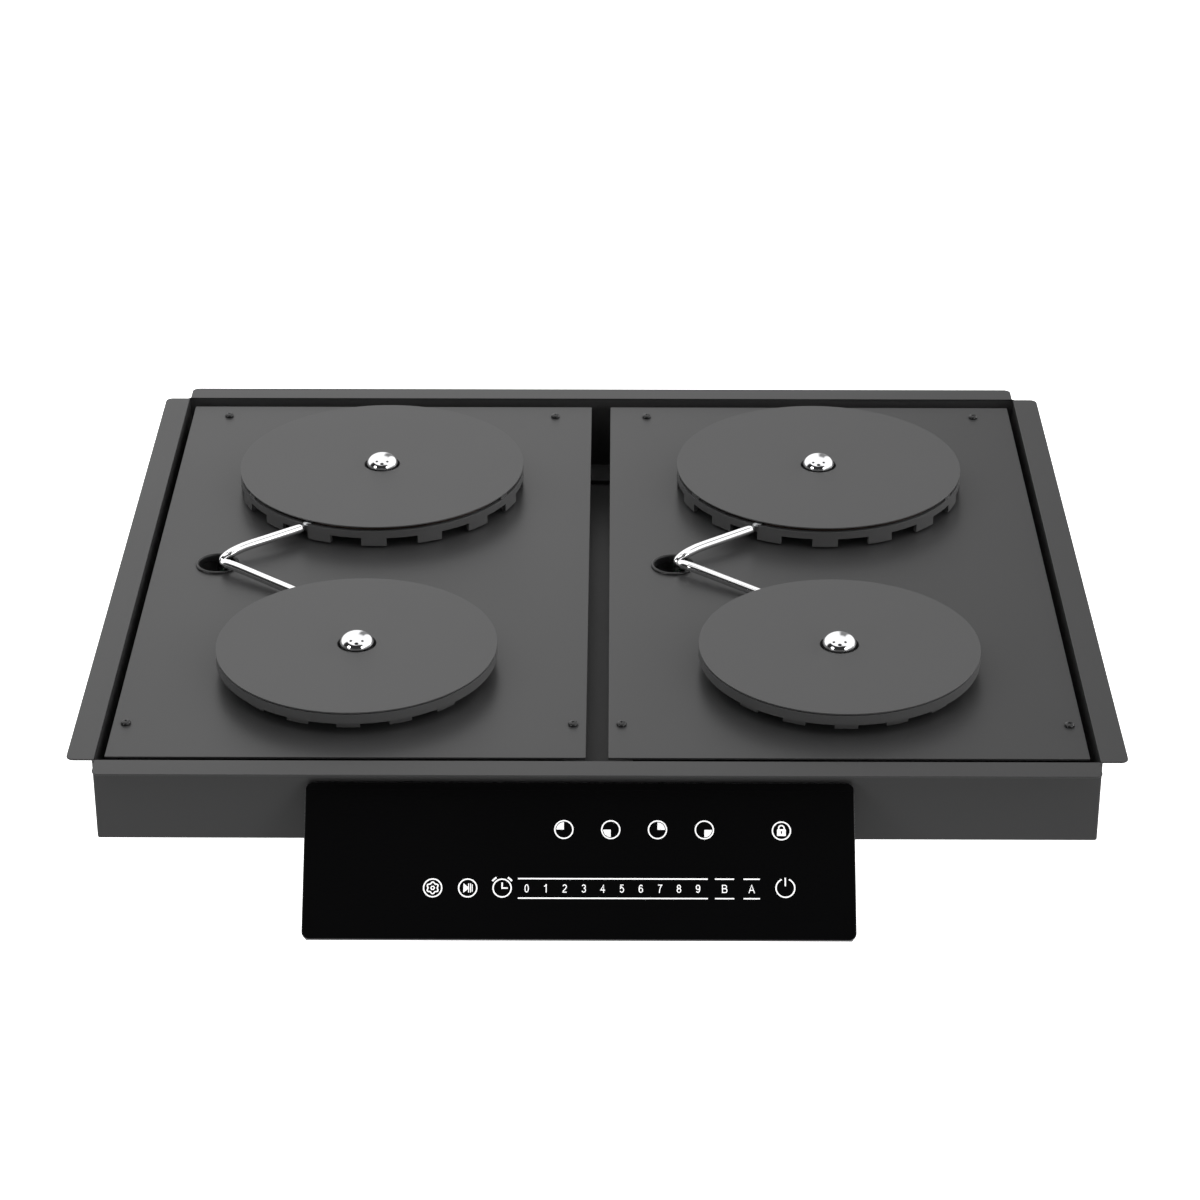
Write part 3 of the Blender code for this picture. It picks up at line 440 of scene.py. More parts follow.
def metalFinish(name, look):
    # polished or brushed metal, with fine marks in its gloss
    finish = Finish(name, look["colour"], look["roughness"], 1.0)
    marks = finish.noise(look["marks"], 3.0, 0.6, look.get("stretch"))
    finish.fill(finish.shader, {"Roughness": look["roughness"] * (0.7 + marks * 0.6)})
    finish.shades(marks, 1 - look["shade"], 1 + look["shade"])
    if look.get("bump"):
        finish.bump(marks, look["bump"], 0.02 * mm)
    return finish.material


finishLooks = {
    "trayCoat": {"colour": (0.046, 0.046, 0.0465), "roughness": 0.38, "gloss": 0.35, "grain": 2600.0,
                 "shade": 0.05, "bump": 0.12},
    "plateCoat": {"colour": (0.046, 0.046, 0.0465), "roughness": 0.35, "gloss": 0.35, "grain": 3000.0,
                  "shade": 0.05, "bump": 0.10},
    "coilPad": {"colour": (0.066, 0.066, 0.0665), "roughness": 0.50, "grain": 2200.0, "shade": 0.07, "bump": 0.14,
                "cloud": 20.0},
    "formerPlastic": {"colour": (0.072, 0.072, 0.0725), "roughness": 0.55, "grain": 1800.0, "shade": 0.08,
                      "bump": 0.15},
    "fanPlastic": {"colour": (0.022, 0.022, 0.023), "roughness": 0.42, "grain": 1500.0, "shade": 0.08, "bump": 0.1},
    "consolePlastic": {"colour": (0.028, 0.028, 0.0285), "roughness": 0.5, "grain": 1600.0, "shade": 0.08,
                       "bump": 0.2},
    "rubber": {"colour": (0.014, 0.014, 0.0145), "roughness": 0.38, "grain": 900.0, "shade": 0.1, "bump": 0.1,
               "cloud": 60.0},
    "cableJacket": {"colour": (0.018, 0.018, 0.018), "roughness": 0.45, "grain": 1500.0, "shade": 0.08, "bump": 0.1},
    "nylon": {"colour": (0.52, 0.52, 0.49), "roughness": 0.5, "grain": 900.0, "shade": 0.05, "bump": 0.1,
              "cloud": 40.0},
    "ferrite": {"colour": (0.045, 0.043, 0.042), "roughness": 0.7, "grain": 2600.0, "shade": 0.2, "bump": 0.3},
    "screwOxide": {"colour": (0.014, 0.014, 0.0145), "roughness": 0.27, "grain": 2400.0, "shade": 0.12,
                   "bump": 0.05},
    "capSleeve": {"colour": (0.012, 0.016, 0.03), "roughness": 0.3, "grain": 700.0, "shade": 0.08, "bump": 0.04},
    "filmBox": {"colour": (0.03, 0.10, 0.20), "roughness": 0.4, "grain": 900.0, "shade": 0.06, "bump": 0.05},
    "chipBody": {"colour": (0.016, 0.016, 0.017), "roughness": 0.6, "grain": 3200.0, "shade": 0.1, "bump": 0.15},
}
metalLooks = {
    "chromeCap": {"colour": (0.86, 0.86, 0.87), "roughness": 0.035, "marks": 700.0, "shade": 0.01},
    "leadSleeve": {"colour": (0.95, 0.95, 0.955), "roughness": 0.08, "marks": 500.0, "shade": 0.02},
    "springSteel": {"colour": (0.46, 0.46, 0.47), "roughness": 0.24, "marks": 1200.0, "shade": 0.06},
    "aluminium": {"colour": (0.62, 0.63, 0.64), "roughness": 0.34, "marks": 600.0, "stretch": (1.0, 0.04, 1.0),
                  "shade": 0.06, "bump": 0.2},
    "tinned": {"colour": (0.66, 0.66, 0.67), "roughness": 0.28, "marks": 900.0, "shade": 0.08},
    "copper": {"colour": (0.55, 0.22, 0.11), "roughness": 0.32, "marks": 1200.0, "shade": 0.15},
}
finishes = {name: coatFinish(name, look) for name, look in finishLooks.items()}
finishes.update({name: metalFinish(name, look) for name, look in metalLooks.items()})


def litzFinish():
    # enamelled strands twisted round the run of the wire
    finish = Finish("litzWire", (0.060, 0.036, 0.026), 0.45, 0.4)
    x, y, z = finish.split(finish.where())
    around = x.sum("ARCTAN2", y, x)
    strands = (around * 260.0 + z * 5200.0).wave() * 0.5 + 0.5
    finish.shades(strands * 0.7 + finish.noise(300.0) * 0.3, 0.45, 1.25)
    finish.bump(strands, 0.5, 0.15 * mm)
    return finish.material


def boardFinish():
    # solder mask over copper tracks
    finish = Finish("circuitBoard", (0.012, 0.075, 0.03), 0.35)
    spot = finish.where()
    cells = finish.add("ShaderNodeTexVoronoi", {"distance": "CHEBYCHEV", "feature": "F1"},
                       {"Vector": spot, "Scale": 240.0, "Randomness": 0.35})
    tracks = finish.add("ShaderNodeValToRGB", {"stops": [(0.28, (0, 0, 0, 1)), (0.34, (1, 1, 1, 1))]}, {0: cells})
    finish.fill(finish.shader, {"Base Color": finish.mix(tracks, (0.03, 0.14, 0.055, 1), (0.010, 0.06, 0.024, 1))})
    finish.bump(tracks, 0.3, 0.03 * mm)
    return finish.material


def glassFinish():
    # black back-printed glass
    finish = Finish("consoleGlass", (0.0022, 0.0022, 0.0024), 0.03, 0.0, Specular_IOR_Level=0.5)
    film = finish.noise(9.0, 3.0)
    finish.fill(finish.shader, {"Roughness": 0.02 + film * 0.03})
    finish.shades(film, 0.85, 1.15)
    return finish.material


def inkFinish():
    # white ceramic print with a glow of its own: painted light that keeps it bright, with no lamp behind it
    finish = Finish("keyInk", (0.86, 0.86, 0.86), 0.45, 0.0, Emission_Color=(1, 1, 1, 1), Emission_Strength=0.55)
    finish.shades(finish.noise(1500.0), 0.97, 1.03)
    return finish.material


def edgeFinish():
    # the ground edge of the glass, a little milky; its lighter grey is also a painted highlight, standing in for the
    # light line the edge catches
    finish = Finish("glassEdge", (0.055, 0.055, 0.057), 0.28)
    scratches = finish.noise(1400.0, 3.0)
    finish.shades(scratches, 0.85, 1.15)
    finish.fill(finish.shader, {"Roughness": 0.22 + scratches * 0.12})
    return finish.material


finishes.update(litzWire=litzFinish(), circuitBoard=boardFinish(), consoleGlass=glassFinish(),
                glassEdge=edgeFinish(), keyInk=inkFinish())
print("finishes:", len(finishes))

tray = {
    "opening": (640 * mm, 555 * mm), "sheet": 1.2 * mm, "height": 58 * mm, "flange": 18 * mm,
    "flangeCorner": 5 * mm, "notch": 0.6 * mm, "foldRadius": 1.6 * mm,
    "slot": 5 * mm, "slotPitch": 10 * mm, "fanBore": 38 * mm, "wallSlots": 9, "wallSlotHeight": 26 * mm,
    "wallSlotShift": 18 * mm, "glandHole": 8.3 * mm,
    "post": 3.5 * mm, "postInset": 8 * mm,
}
boards = [f"power_board_{side}" for side in sides] + ["filter_board"]


def buildTray():
    width, depth = tray["opening"]
    sheet, bend = tray["sheet"], tray["foldRadius"]
    floorTop = -tray["height"] + sheet
    shape = bmesh.new()
    # One shell: up the outside, over the rim, down the inside, with folded bottom edges.
    outside = [(-sheet + bend * (1 - math.sin(a)), -tray["height"] + bend * (1 - math.cos(a)))
               for a in quarterTurn(4)]
    inner = bend - sheet
    inside = [(inner * (1 - math.sin(a)), floorTop + inner * (1 - math.cos(a)))
              for a in reversed(quarterTurn(2))]
    steps = [*outside, (-sheet, -0.4 * mm), (0, -0.4 * mm), *inside]
    rings = []
    for amount, height in steps:
        corner = max(0.3 * mm, bend - amount - sheet)
        line = boxLine(width - 2 * amount, depth - 2 * amount, radius=corner, count=4)
        rings.append(ring(shape, line, height))
    tube(shape, rings)
    shell = meshOf(shape, "trayShell")

    cuts = bmesh.new()
    low, high = -tray["height"] - sheet, floorTop + sheet
    outward = turned(-90, "X")
    wall = (depth / 2 - sheet, depth / 2 + 2 * sheet)
    rows = int(tray["fanBore"] / tray["slotPitch"])
    for side in sides:
        centre = middleOf(f"fan_housing_{side}")
        for row in range(-rows, rows + 1):
            reach = math.sqrt(tray["fanBore"] ** 2 - (row * tray["slotPitch"]) ** 2) - tray["slot"] / 2
            if reach > tray["slot"]:
                middle = (centre.x, centre.y + row * tray["slotPitch"])
                line = boxLine(2 * reach, tray["slot"], middle, tray["slot"] * 0.49, 6)
                block(cuts, line, low, high, 0)
        for i in range(tray["wallSlots"]):
            across = centre.x + (i - (tray["wallSlots"] - 1) / 2) * tray["slotPitch"] * 1.4 - tray["wallSlotShift"]
            line = boxLine(tray["slot"], tray["wallSlotHeight"], (across, tray["height"] / 2), tray["slot"] * 0.49, 6)
            block(cuts, line, *wall, 0, turn=outward)
    gland = middleOf("cable_gland")
    block(cuts, circleLine(tray["glandHole"], 32, (gland.x, -gland.z)), *wall, 0, turn=outward)
    front = (-depth / 2 - 2 * sheet, -depth / 2 + sheet)
    for side in sides:
        screw = middleOf(f"wall_screw_{side}")
        block(cuts, circleLine(screwHole, 16, (screw.x, -screw.z)), *front, 0, turn=outward)
    block(cuts, cableLine(-(depth + sheet) / 2, 6 * mm), *front, 0, turn=outward)
    shell = carve(shell, [meshOf(cuts, "trayCuts")])

    shape = bmesh.new()
    shape.from_mesh(shell)
    reach, notch = tray["flange"] / 2, tray["notch"]
    for sign, corners in ((1, (0, 3)), (-1, (1, 2))):
        middle = (sign * (width / 2 + reach), 0)
        line = boxLine(2 * reach, depth - 2 * notch, middle, tray["flangeCorner"], 8, corners)
        block(shape, line, -sheet, 0, 0.35 * mm, 3)
    for sign, corners in ((1, (0, 1)), (-1, (2, 3))):
        middle = (0, sign * (depth / 2 + reach))
        line = boxLine(width - 2 * notch, 2 * reach, middle, tray["flangeCorner"], 8, corners)
        block(shape, line, -sheet, 0, 0.35 * mm, 3)
    for node in boards:
        low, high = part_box(node)
        for x in (low.x + tray["postInset"], high.x - tray["postInset"]):
            for y in (low.y + tray["postInset"], high.y - tray["postInset"]):
                post = [(0, floorTop - sheet / 2), (tray["post"] + 0.8 * mm, floorTop - sheet / 2),
                        (tray["post"] + 0.8 * mm, floorTop + 0.3 * mm), (tray["post"], floorTop + 1 * mm),
                        (tray["post"], low.z - clearance), (0, low.z - clearance)]
                lathe(shape, soften(post, 0.2 * mm, 1), 24, Matrix.Translation((x, y, 0)))
    addPiece("tray_shell", shape, "trayCoat", ["tray"])


buildTray()
print("tray")

screwLook = {
    "head": 3.4 * mm, "headHeight": 2 * mm, "flatTop": 0.45, "shank": 1.5 * mm, "root": 0.84, "pitch": 0.5 * mm,
    "threadFrom": 1 * mm, "tip": 1.2 * mm, "recess": 1.15 * mm, "plateLength": 8 * mm, "wallLength": 5 * mm,
    "turned": 37,        # degrees between one recess and the next
}


def screwMesh(name, length):
    # pan head with a cross recess, underside of the head at zero
    r, h, shank = screwLook["head"], screwLook["headHeight"], screwLook["shank"]
    flat, pitch = screwLook["flatTop"], screwLook["pitch"]
    shoulder = [(r * (flat + (1 - flat) * math.cos(a)), h * (0.12 + 0.88 * math.sin(a)))
                for a in quarterTurn(8)]
    thread = []
    for i in range(int((length - screwLook["tip"]) / pitch)):
        crest = -screwLook["threadFrom"] - i * pitch
        thread += [(shank, crest), (shank * screwLook["root"], crest - pitch / 2)]
    profile = [(0, -length), *reversed(thread), (shank, 0), (r * 0.97, 0), *shoulder, (0, h)]
    shape = bmesh.new()
    lathe(shape, profile, 32)
    slots = []
    wide, deep = screwLook["recess"], h * 0.35
    for quarter in (0, 90):
        turn = turned(quarter)
        cross, rings = bmesh.new(), []
        for size, height in ((0.45, deep), (1.0, h * 1.2)):
            rings.append(ring(cross, boxLine(2.6 * wide * size, 0.55 * wide), height, turn))
        tube(cross, rings)
        slots.append(meshOf(cross, name + "Slot"))
    result = carve(meshOf(shape, name), slots)
    result.name = name
    return result


def buildScrews():
    plateScrew = screwMesh("plateScrew", screwLook["plateLength"])
    wallScrew = screwMesh("wallScrew", screwLook["wallLength"])
    for mesh in (plateScrew, wallScrew):
        mesh.materials.append(finishes["screwOxide"])
    for start, side in zip((0, 4), sides):
        for i in range(1, 5):
            node = f"plate_screw_{side}_{i}"
            low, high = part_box(node)
            spot = Matrix.Translation(((low.x + high.x) / 2, (low.y + high.y) / 2, high.z - screwLook["headHeight"]))
            spin = turned(screwLook["turned"] * (start + i))
            addPiece(f"screw_{side}_{i}", plateScrew, None, [node], place=spot @ spin)
        low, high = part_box(f"wall_screw_{side}")
        spot = Matrix.Translation(((low.x + high.x) / 2, high.y - screwLook["headHeight"], (low.z + high.z) / 2))
        turn = turned(-90, "X")
        addPiece(f"wallScrew_{side}", wallScrew, None, [f"wall_screw_{side}"], place=spot @ turn)
    return plateScrew


panScrew = buildScrews()

plates = {"sheet": 1.5 * mm, "stemHole": 8 * mm, "edge": 0.3 * mm}
grommets = {"radius": 15.4 * mm, "bore": 13 * mm, "lip": 1.8 * mm, "groove": 1.2 * mm, "gap": 0.3 * mm}
coils = {
    "discTop": 14 * mm, "discSheet": 1 * mm, "toothCount": 16, "toothAngle": 10, "firstTooth": -90,
    "wall": 3 * mm, "web": 2 * mm, "hubBore": 13.3 * mm, "hubWall": 2.2 * mm, "holeRadius": 13 * mm,
    "clipAngles": (-152, -28, 90), "clipWidth": 9 * mm, "padRadius": 6 * mm, "ferriteAngles": range(0, 360, 60),
    "rear": {"seam": 2.6 * mm, "rim": 5.7 * mm, "teeth": 6 * mm, "inset": 0.0},
    "front": {"seam": 0.6 * mm, "rim": 7 * mm, "teeth": 5.8 * mm, "inset": 5.6 * mm},
    "wire": 1.55 * mm, "wirePitch": 3.25 * mm,
}
caps = {"radius": 11.4 * mm, "height": 8.2 * mm, "skirt": 6 * mm, "wall": 1.2 * mm, "stem": 3 * mm,
        "clip": 5 * mm, "clipHeight": 1.2 * mm, "spring": 6.6 * mm, "springWire": 0.6 * mm, "springTurns": 5,
        "travel": 6 * mm}
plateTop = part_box("coil_plate_left")[1].z


def buildPlate(side):
    low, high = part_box(f"coil_plate_{side}")
    middle = (low + high) / 2
    holes = []
    for end in ends:
        holes.append(circleLine(plates["stemHole"], 24, (0, middleOf(f"coil_disc_{side}_{end}").y)))
    cable = middleOf(f"grommet_{side}")
    holes.append(circleLine(grommets["radius"] - grommets["groove"], 48, (cable.x - middle.x, cable.y)))
    for i in range(1, 5):
        screw = middleOf(f"plate_screw_{side}_{i}")
        holes.append(circleLine(screwHole, 16, (screw.x - middle.x, screw.y)))
    shape = bmesh.new()
    line = boxLine(high.x - low.x, high.y - low.y, radius=0.8 * mm, count=3)
    pierced(shape, line, holes, low.z, high.z, plates["edge"], 3)
    addPiece(f"plate_{side}", shape, "plateCoat", [f"coil_plate_{side}"],
             place=above(middle))


def buildGrommet(side):
    middle = middleOf(f"grommet_{side}")
    top, bottom = plateTop, plateTop - plates["sheet"]
    radius, bore, lip, gap = grommets["radius"], grommets["bore"], grommets["lip"], grommets["gap"]
    groove = radius - grommets["groove"] - gap
    bulge = [(bore + (radius - bore) * (0.5 - 0.5 * math.cos(a)), top + gap + (lip - gap) * math.sin(a))
             for a in [math.pi * i / 12 for i in range(13)]]
    profile = [(bore, bottom - lip), (bore + 0.8 * mm, bottom - lip), (radius, bottom - lip * 0.6),
               (radius, bottom - gap), (groove, bottom - gap), (groove, top + gap), *reversed(bulge)]
    shape = bmesh.new()
    lathe(shape, profile, 72)
    addPiece(f"cableRing_{side}", shape, "rubber", [f"grommet_{side}"],
             place=above(middle), sharp=50)


def buildFormer(side, end, centre, radius):
    zone = coils[end]
    rimTop = coils["discTop"] - coils["discSheet"] - zone["seam"]
    rimBottom = rimTop - zone["rim"]
    base = rimBottom - zone["teeth"]
    hub, bore, wall, web = coils["hubBore"] + coils["hubWall"], coils["hubBore"], coils["wall"], coils["web"]
    shape = bmesh.new()
    # Rim and web
    trough = [(hub - 1 * mm, rimBottom), (radius, rimBottom), (radius, rimTop), (radius - wall, rimTop),
              (radius - wall, rimBottom + web), (hub - 1 * mm, rimBottom + web)]
    lathe(shape, soften(trough, 0.35 * mm, 2), 192)
    hubTop = coils["discTop"] - coils["discSheet"] - clearance
    stem = caps["stem"] + clearance
    cup = [(stem, base), (hub, base), (hub, hubTop), (bore, hubTop), (bore, base + web), (stem, base + web)]
    lathe(shape, soften(cup, 0.4 * mm, 2), 64)
    # Teeth follow the curve of the rim.
    outer = radius - zone["inset"]
    pitch = 360 / coils["toothCount"]
    for i in range(coils["toothCount"]):
        start = coils["firstTooth"] - coils["toothAngle"] / 2 + i * pitch
        line = arcLine(outer, start, start + coils["toothAngle"], 6)
        line += arcLine(outer - wall, start + coils["toothAngle"], start, 6)
        block(shape, line, base, rimBottom + web / 2, 0.3 * mm, 2)
        # A rib stiffens the web behind each tooth.
        turn = turned(start + coils["toothAngle"] / 2)
        line = boxLine(14 * mm, 1.6 * mm, (outer - wall - 6.6 * mm, 0))
        block(shape, line, rimBottom - 2.6 * mm, rimBottom + web / 2, 0.25 * mm, 1, turn)
    for angle in coils["clipAngles"]:
        turn = turned(angle)
        line = boxLine(wall * 0.8, coils["clipWidth"], (radius - wall * 0.6, 0))
        block(shape, line, rimTop - web / 2, hubTop + 0.1 * mm, 0.25 * mm, 2, turn)
    for i in range(3):
        angle = math.radians(30 + 120 * i)
        turn = Matrix.Translation((radius / 2 * math.cos(angle), radius / 2 * math.sin(angle), 0))
        foot = [(0, plateTop + clearance), (coils["padRadius"], plateTop + clearance),
                (coils["padRadius"], rimBottom + web / 2), (0, rimBottom + web / 2)]
        lathe(shape, soften(foot, 0.5 * mm, 2), 32, turn)
    # Ferrite bars lie in channels under the web.
    bars = bmesh.new()
    barLength = radius - hub - 18 * mm
    for angle in coils["ferriteAngles"]:
        turn = turned(angle + 8)
        middle = hub + 6 * mm + barLength / 2
        block(bars, boxLine(barLength, 9 * mm, (middle, 0), 0.6 * mm, 2), rimBottom - 4 * mm, rimBottom - 0.1 * mm,
              0.3 * mm, 2, turn)
        for offset in (-5.6 * mm, 5.6 * mm):
            block(shape, boxLine(barLength, 1.2 * mm, (middle, offset)), rimBottom - 2.5 * mm,
                  rimBottom + web / 2, 0.2 * mm, 1, turn)
    spot = above(centre)
    addPiece(f"former_{side}_{end}", shape, "formerPlastic",
             [f"coil_former_{side}_{end}"], place=spot)
    addPiece(f"ferrite_{side}_{end}", bars, "ferrite", place=spot)


def buildWinding(side, end, centre):
    low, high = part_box(f"coil_winding_{side}_{end}")
    outer, thick = (high.x - low.x) / 2, min(coils["wire"], (high.z - low.z) / 2)
    inner = coils["hubBore"] + coils["hubWall"] + 10 * mm
    turns = int((outer - inner - 2 * thick) / coils["wirePitch"])
    route = []
    for i in range(turns * 56 + 1):
        angle = 2 * math.pi * i / 56
        reach = inner + thick + coils["wirePitch"] * i / 56
        route.append(Vector((reach * math.cos(angle), reach * math.sin(angle), (low.z + high.z) / 2)))
    shape = bmesh.new()
    hose(shape, route, thick, 10)
    addPiece(f"winding_{side}_{end}", shape, "litzWire", [f"coil_winding_{side}_{end}"],
             place=above(centre))


def buildDisc(side, end, centre, radius):
    top, bottom = coils["discTop"], coils["discTop"] - coils["discSheet"]
    profile = [(coils["holeRadius"], bottom), (radius, bottom), (radius, top), (coils["holeRadius"], top)]
    shape = bmesh.new()
    lathe(shape, soften(profile, 0.28 * mm, 4), 224)
    addPiece(f"disc_{side}_{end}", shape, "coilPad", [f"coil_disc_{side}_{end}"],
             place=above(centre))


def buildSensor(side, end, centre):
    top, stopTop = coils["discTop"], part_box(f"sensor_cap_{side}_{end}")[0].z + caps["clipHeight"]
    radius, height, wall = caps["radius"], caps["height"], caps["wall"]
    quarter = quarterTurn(20)[:-1]
    dome = [(radius * math.cos(a), top + height * math.sin(a)) for a in quarter]
    hollow = [((radius - wall) * math.cos(a), top + (height - wall) * math.sin(a)) for a in quarter[::2][:8]]
    skirt = top - caps["skirt"]
    stem, clip = caps["stem"], caps["clip"]
    profile = [(0, top + height), *reversed(dome), (radius, skirt + 0.3 * mm), (radius - 0.3 * mm, skirt),
               (radius - wall, skirt), *hollow, (stem, top + (height - wall) * 0.9), (stem, stopTop), (clip, stopTop),
               (clip, stopTop - caps["clipHeight"]), (0, stopTop - caps["clipHeight"])]
    shape = bmesh.new()
    lathe(shape, profile, 96)
    spot = above(centre)
    addPiece(f"cap_{side}_{end}", shape, "chromeCap", [f"sensor_cap_{side}_{end}"],
             f"sensor_{side}_{end}", spot, sharp=40)

    low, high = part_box(f"sensor_spring_{side}_{end}")
    wire = caps["springWire"]
    route = []
    steps = 28 * caps["springTurns"]
    for i in range(steps + 1):
        t = i / steps
        rise = min(max((t - 0.16) / 0.68, 0), 1)        # closed turns at both ends
        rise = 0.09 * min(t / 0.16, 1) + 0.82 * rise + 0.09 * max((t - 0.84) / 0.16, 0)
        angle = 2 * math.pi * caps["springTurns"] * t
        route.append(Vector((caps["spring"] * math.cos(angle), caps["spring"] * math.sin(angle),
                             low.z + wire + (high.z - low.z - 2 * wire) * rise)))
    shape = bmesh.new()
    hose(shape, route, wire, 10, True)
    spring = addPiece(f"spring_{side}_{end}", shape, "springSteel",
                      [f"sensor_spring_{side}_{end}"], place=spot, even=False)
    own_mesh(spring)


leads = {
    "radius": 3.35 * mm, "endGap": 2 * mm, "sideStep": 4.1 * mm, "shift": 3.2 * mm,
    # degrees where the lead meets the rim, and how far its end and its bends clear the plate
    "rear": {"entry": -119.2, "end": 7.25,
             "bends": ((3.4, 4.1, -2.5), (5.6, 4.9, 0.3), (8.8, 6.3, 2.3), (13, 9.2, 3.5), (20.4, 14.4, 4.5))},
    "front": {"entry": 112.8, "end": 0.45,
              "bends": ((3.6, 4.4, -2.7), (4.9, 6.9, 0.7), (6.7, 10, 2.5), (10.4, 13, 3), (18.4, 18.5, 2.8))},
    "crimp": (4.0 * mm, 2.4 * mm, 2.6 * mm), "crimpFrom": (4.2 * mm, 2.4 * mm), "crimpHeight": 9.2 * mm,
}


def buildLead(side, end, centre, radius):
    way = 1 if end == "rear" else -1
    ringSpot = middleOf(f"grommet_{side}")
    hole = Vector((ringSpot.x, ringSpot.y, 0))
    angle, reach = math.radians(leads[end]["entry"]), radius + leads["endGap"]
    level = plateTop + leads["radius"]
    boardTop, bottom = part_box(f"power_board_{side}")[1].z, plateTop - plates["sheet"]
    target = Vector((centre.x + reach * math.cos(angle), centre.y + reach * math.sin(angle),
                     level + leads[end]["end"] * mm))
    rise = hole + Vector((leads["shift"], way * leads["sideStep"], 0))
    bends = [hole + Vector((x * mm, way * y * mm, level + z * mm)) for x, y, z in leads[end]["bends"]]
    tip = target - (target - bends[-1]).normalized() * leads["radius"] * 0.55
    knots = [rise + Vector((0, 0, boardTop + clearance)), rise + Vector((0, 0, (boardTop + bottom) / 2)),
             rise + Vector((0, 0, bottom - 4 * mm)), *bends, bends[-1].lerp(target, 0.5), tip]
    shape = bmesh.new()
    hose(shape, smoothRoute(knots, 1.4 * mm), leads["radius"], 32, True)
    addPiece(f"lead_{side}_{end}", shape, "leadSleeve", [f"coil_lead_{side}_{end}"],
             sharp=60)
    if end == "rear":
        # Crimp that holds the end of the sleeve at the seam
        crimp = bmesh.new()
        lathe(crimp, [*[(math.cos(a), math.sin(a)) for a in quarterTurn(10)[:-1]], (0, 1), (0, 0)], 40)
        across, along = leads["crimpFrom"]
        spot = Matrix.Translation((target.x + across, target.y + along, leads["crimpHeight"]))
        size = Matrix.Diagonal((*leads["crimp"], 1))
        bmesh.ops.transform(crimp, matrix=spot @ size, verts=crimp.verts)
        addPiece(f"crimp_{side}", crimp, "aluminium")


def buildCoils():
    for side in sides:
        buildPlate(side)
        buildGrommet(side)
        for end in ends:
            low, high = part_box(f"coil_disc_{side}_{end}")
            centre, radius = (low + high) / 2, (high.x - low.x) / 2
            buildFormer(side, end, centre, radius)
            buildWinding(side, end, centre)
            buildDisc(side, end, centre, radius)
            buildSensor(side, end, centre)
            buildLead(side, end, centre, radius)


buildCoils()
print("plates and coils")

console = {
    "tilt": 44, "glass": 3 * mm, "corner": 5 * mm, "edge": 0.55 * mm, "inset": 1.5 * mm, "depth": 15 * mm,
    "wall": 2 * mm, "seat": 4 * mm, "ink": (0.006 * mm, 0.03 * mm),
}
keys = {
    # millimetres: across from the middle of the glass, down from its top edge
    "zoneX": (-9.9, 19.8, 49.4, 79.1), "zoneY": 30.6, "quarters": (90, 180, 0, 270), "ring": 5.7, "line": 0.85,
    "lock": (127.9, 31.1), "gear": (-92.4, 68.4), "play": (-70.3, 68.4), "clock": (-48.6, 68.4),
    "power": (130.0, 67.9), "tracks": (62.3, 74.8), "slider": (-38.6, 81.1), "digitX": -33.1, "digitPitch": 12.0,
    "stroke": 0.58, "letters": (("B", 85.6, 97.7), ("A", 103.6, 113.9)),
}
lean = math.radians(90 - console["tilt"])
glassLow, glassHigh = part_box("console_glass")
consolePlace = Matrix.Translation(((glassLow.x + glassHigh.x) / 2, glassHigh.y - console["glass"] * math.sin(lean),
                                   glassHigh.z)) @ Matrix.Rotation(lean, 4, "X")


def atKey(line, spot):
    # a line in millimetres about a key, in metres on the glass
    return [((spot[0] + x) * mm, (-spot[1] + y) * mm) for x, y in line]


def oval(wide, tall, start=0, stop=360, middle=(0, 0), count=28):
    line = [(middle[0] + wide * x, middle[1] + tall * y) for x, y in arcLine(1, start, stop, count)]
    return line[:-1] if stop - start == 360 else line


# centre lines of the digits and key letters, in millimetres, each with whether it closes
hook = [(-1.1, -0.7), (-1.08, 0.5), (-0.8, 1.65), (-0.2, 2.25), (0.45, 2.25), (1.0, 1.55)]
strokes = {
    "0": [(oval(1.08, 2.33), True)],
    "1": [([(-0.95, 1.3), (-0.2, 1.75), (0.3, 2.5)], False), ([(0.3, 2.7), (0.3, -2.7)], False)],
    "2": [([*oval(1.1, 1.12, 170, -25, (0, 1.21), 12), (0.3, -0.35), (-0.85, -1.5), (-1.15, -2.33), (1.25, -2.33)],
           False)],
    "3": [(oval(1.02, 1.08, 160, -90, (-0.02, 1.25), 14), False),
          (oval(1.15, 1.25, 90, -160, (-0.02, -1.08), 14), False)],
    "4": [([(0.55, -2.7), (0.55, 2.45), (-1.3, -0.95), (1.4, -0.95)], False)],
    "5": [([(1.05, 2.33), (-0.75, 2.33), (-1.05, -0.05), *oval(1.15, 1.5, 130, -155, (-0.02, -0.83), 16)], False)],
    "6": [(oval(1.1, 1.4, middle=(0, -0.93)), True), (hook, False)],
    "7": [([(-1.2, 2.33), (1.2, 2.33), (0.4, 1.0), (-0.15, -0.8), (-0.35, -2.7)], False)],
    "8": [(oval(0.95, 1.1, middle=(0, 1.23)), True), (oval(1.13, 1.23, middle=(0, -1.1)), True)],
    "9": [(oval(1.1, 1.4, middle=(0, 0.93)), True), ([(-x, -y) for x, y in hook], False)],
    "B": [([(0.4, 0.1), (-1.35, 0.1), (-1.35, 2.33), (0.3, 2.33),
            *oval(0.95, 1.115, 80, -80, (0.3, 1.215), 10)], False),
          ([(-1.35, 0.1), (-1.35, -2.33), (0.4, -2.33), *oval(1.1, 1.215, -80, 80, (0.4, -1.115), 10)], False)],
    "A": [([(-1.75, -2.7), (0, 2.45), (1.75, -2.7)], False), ([(-1.1, -0.85), (1.1, -0.85)], False)],
}


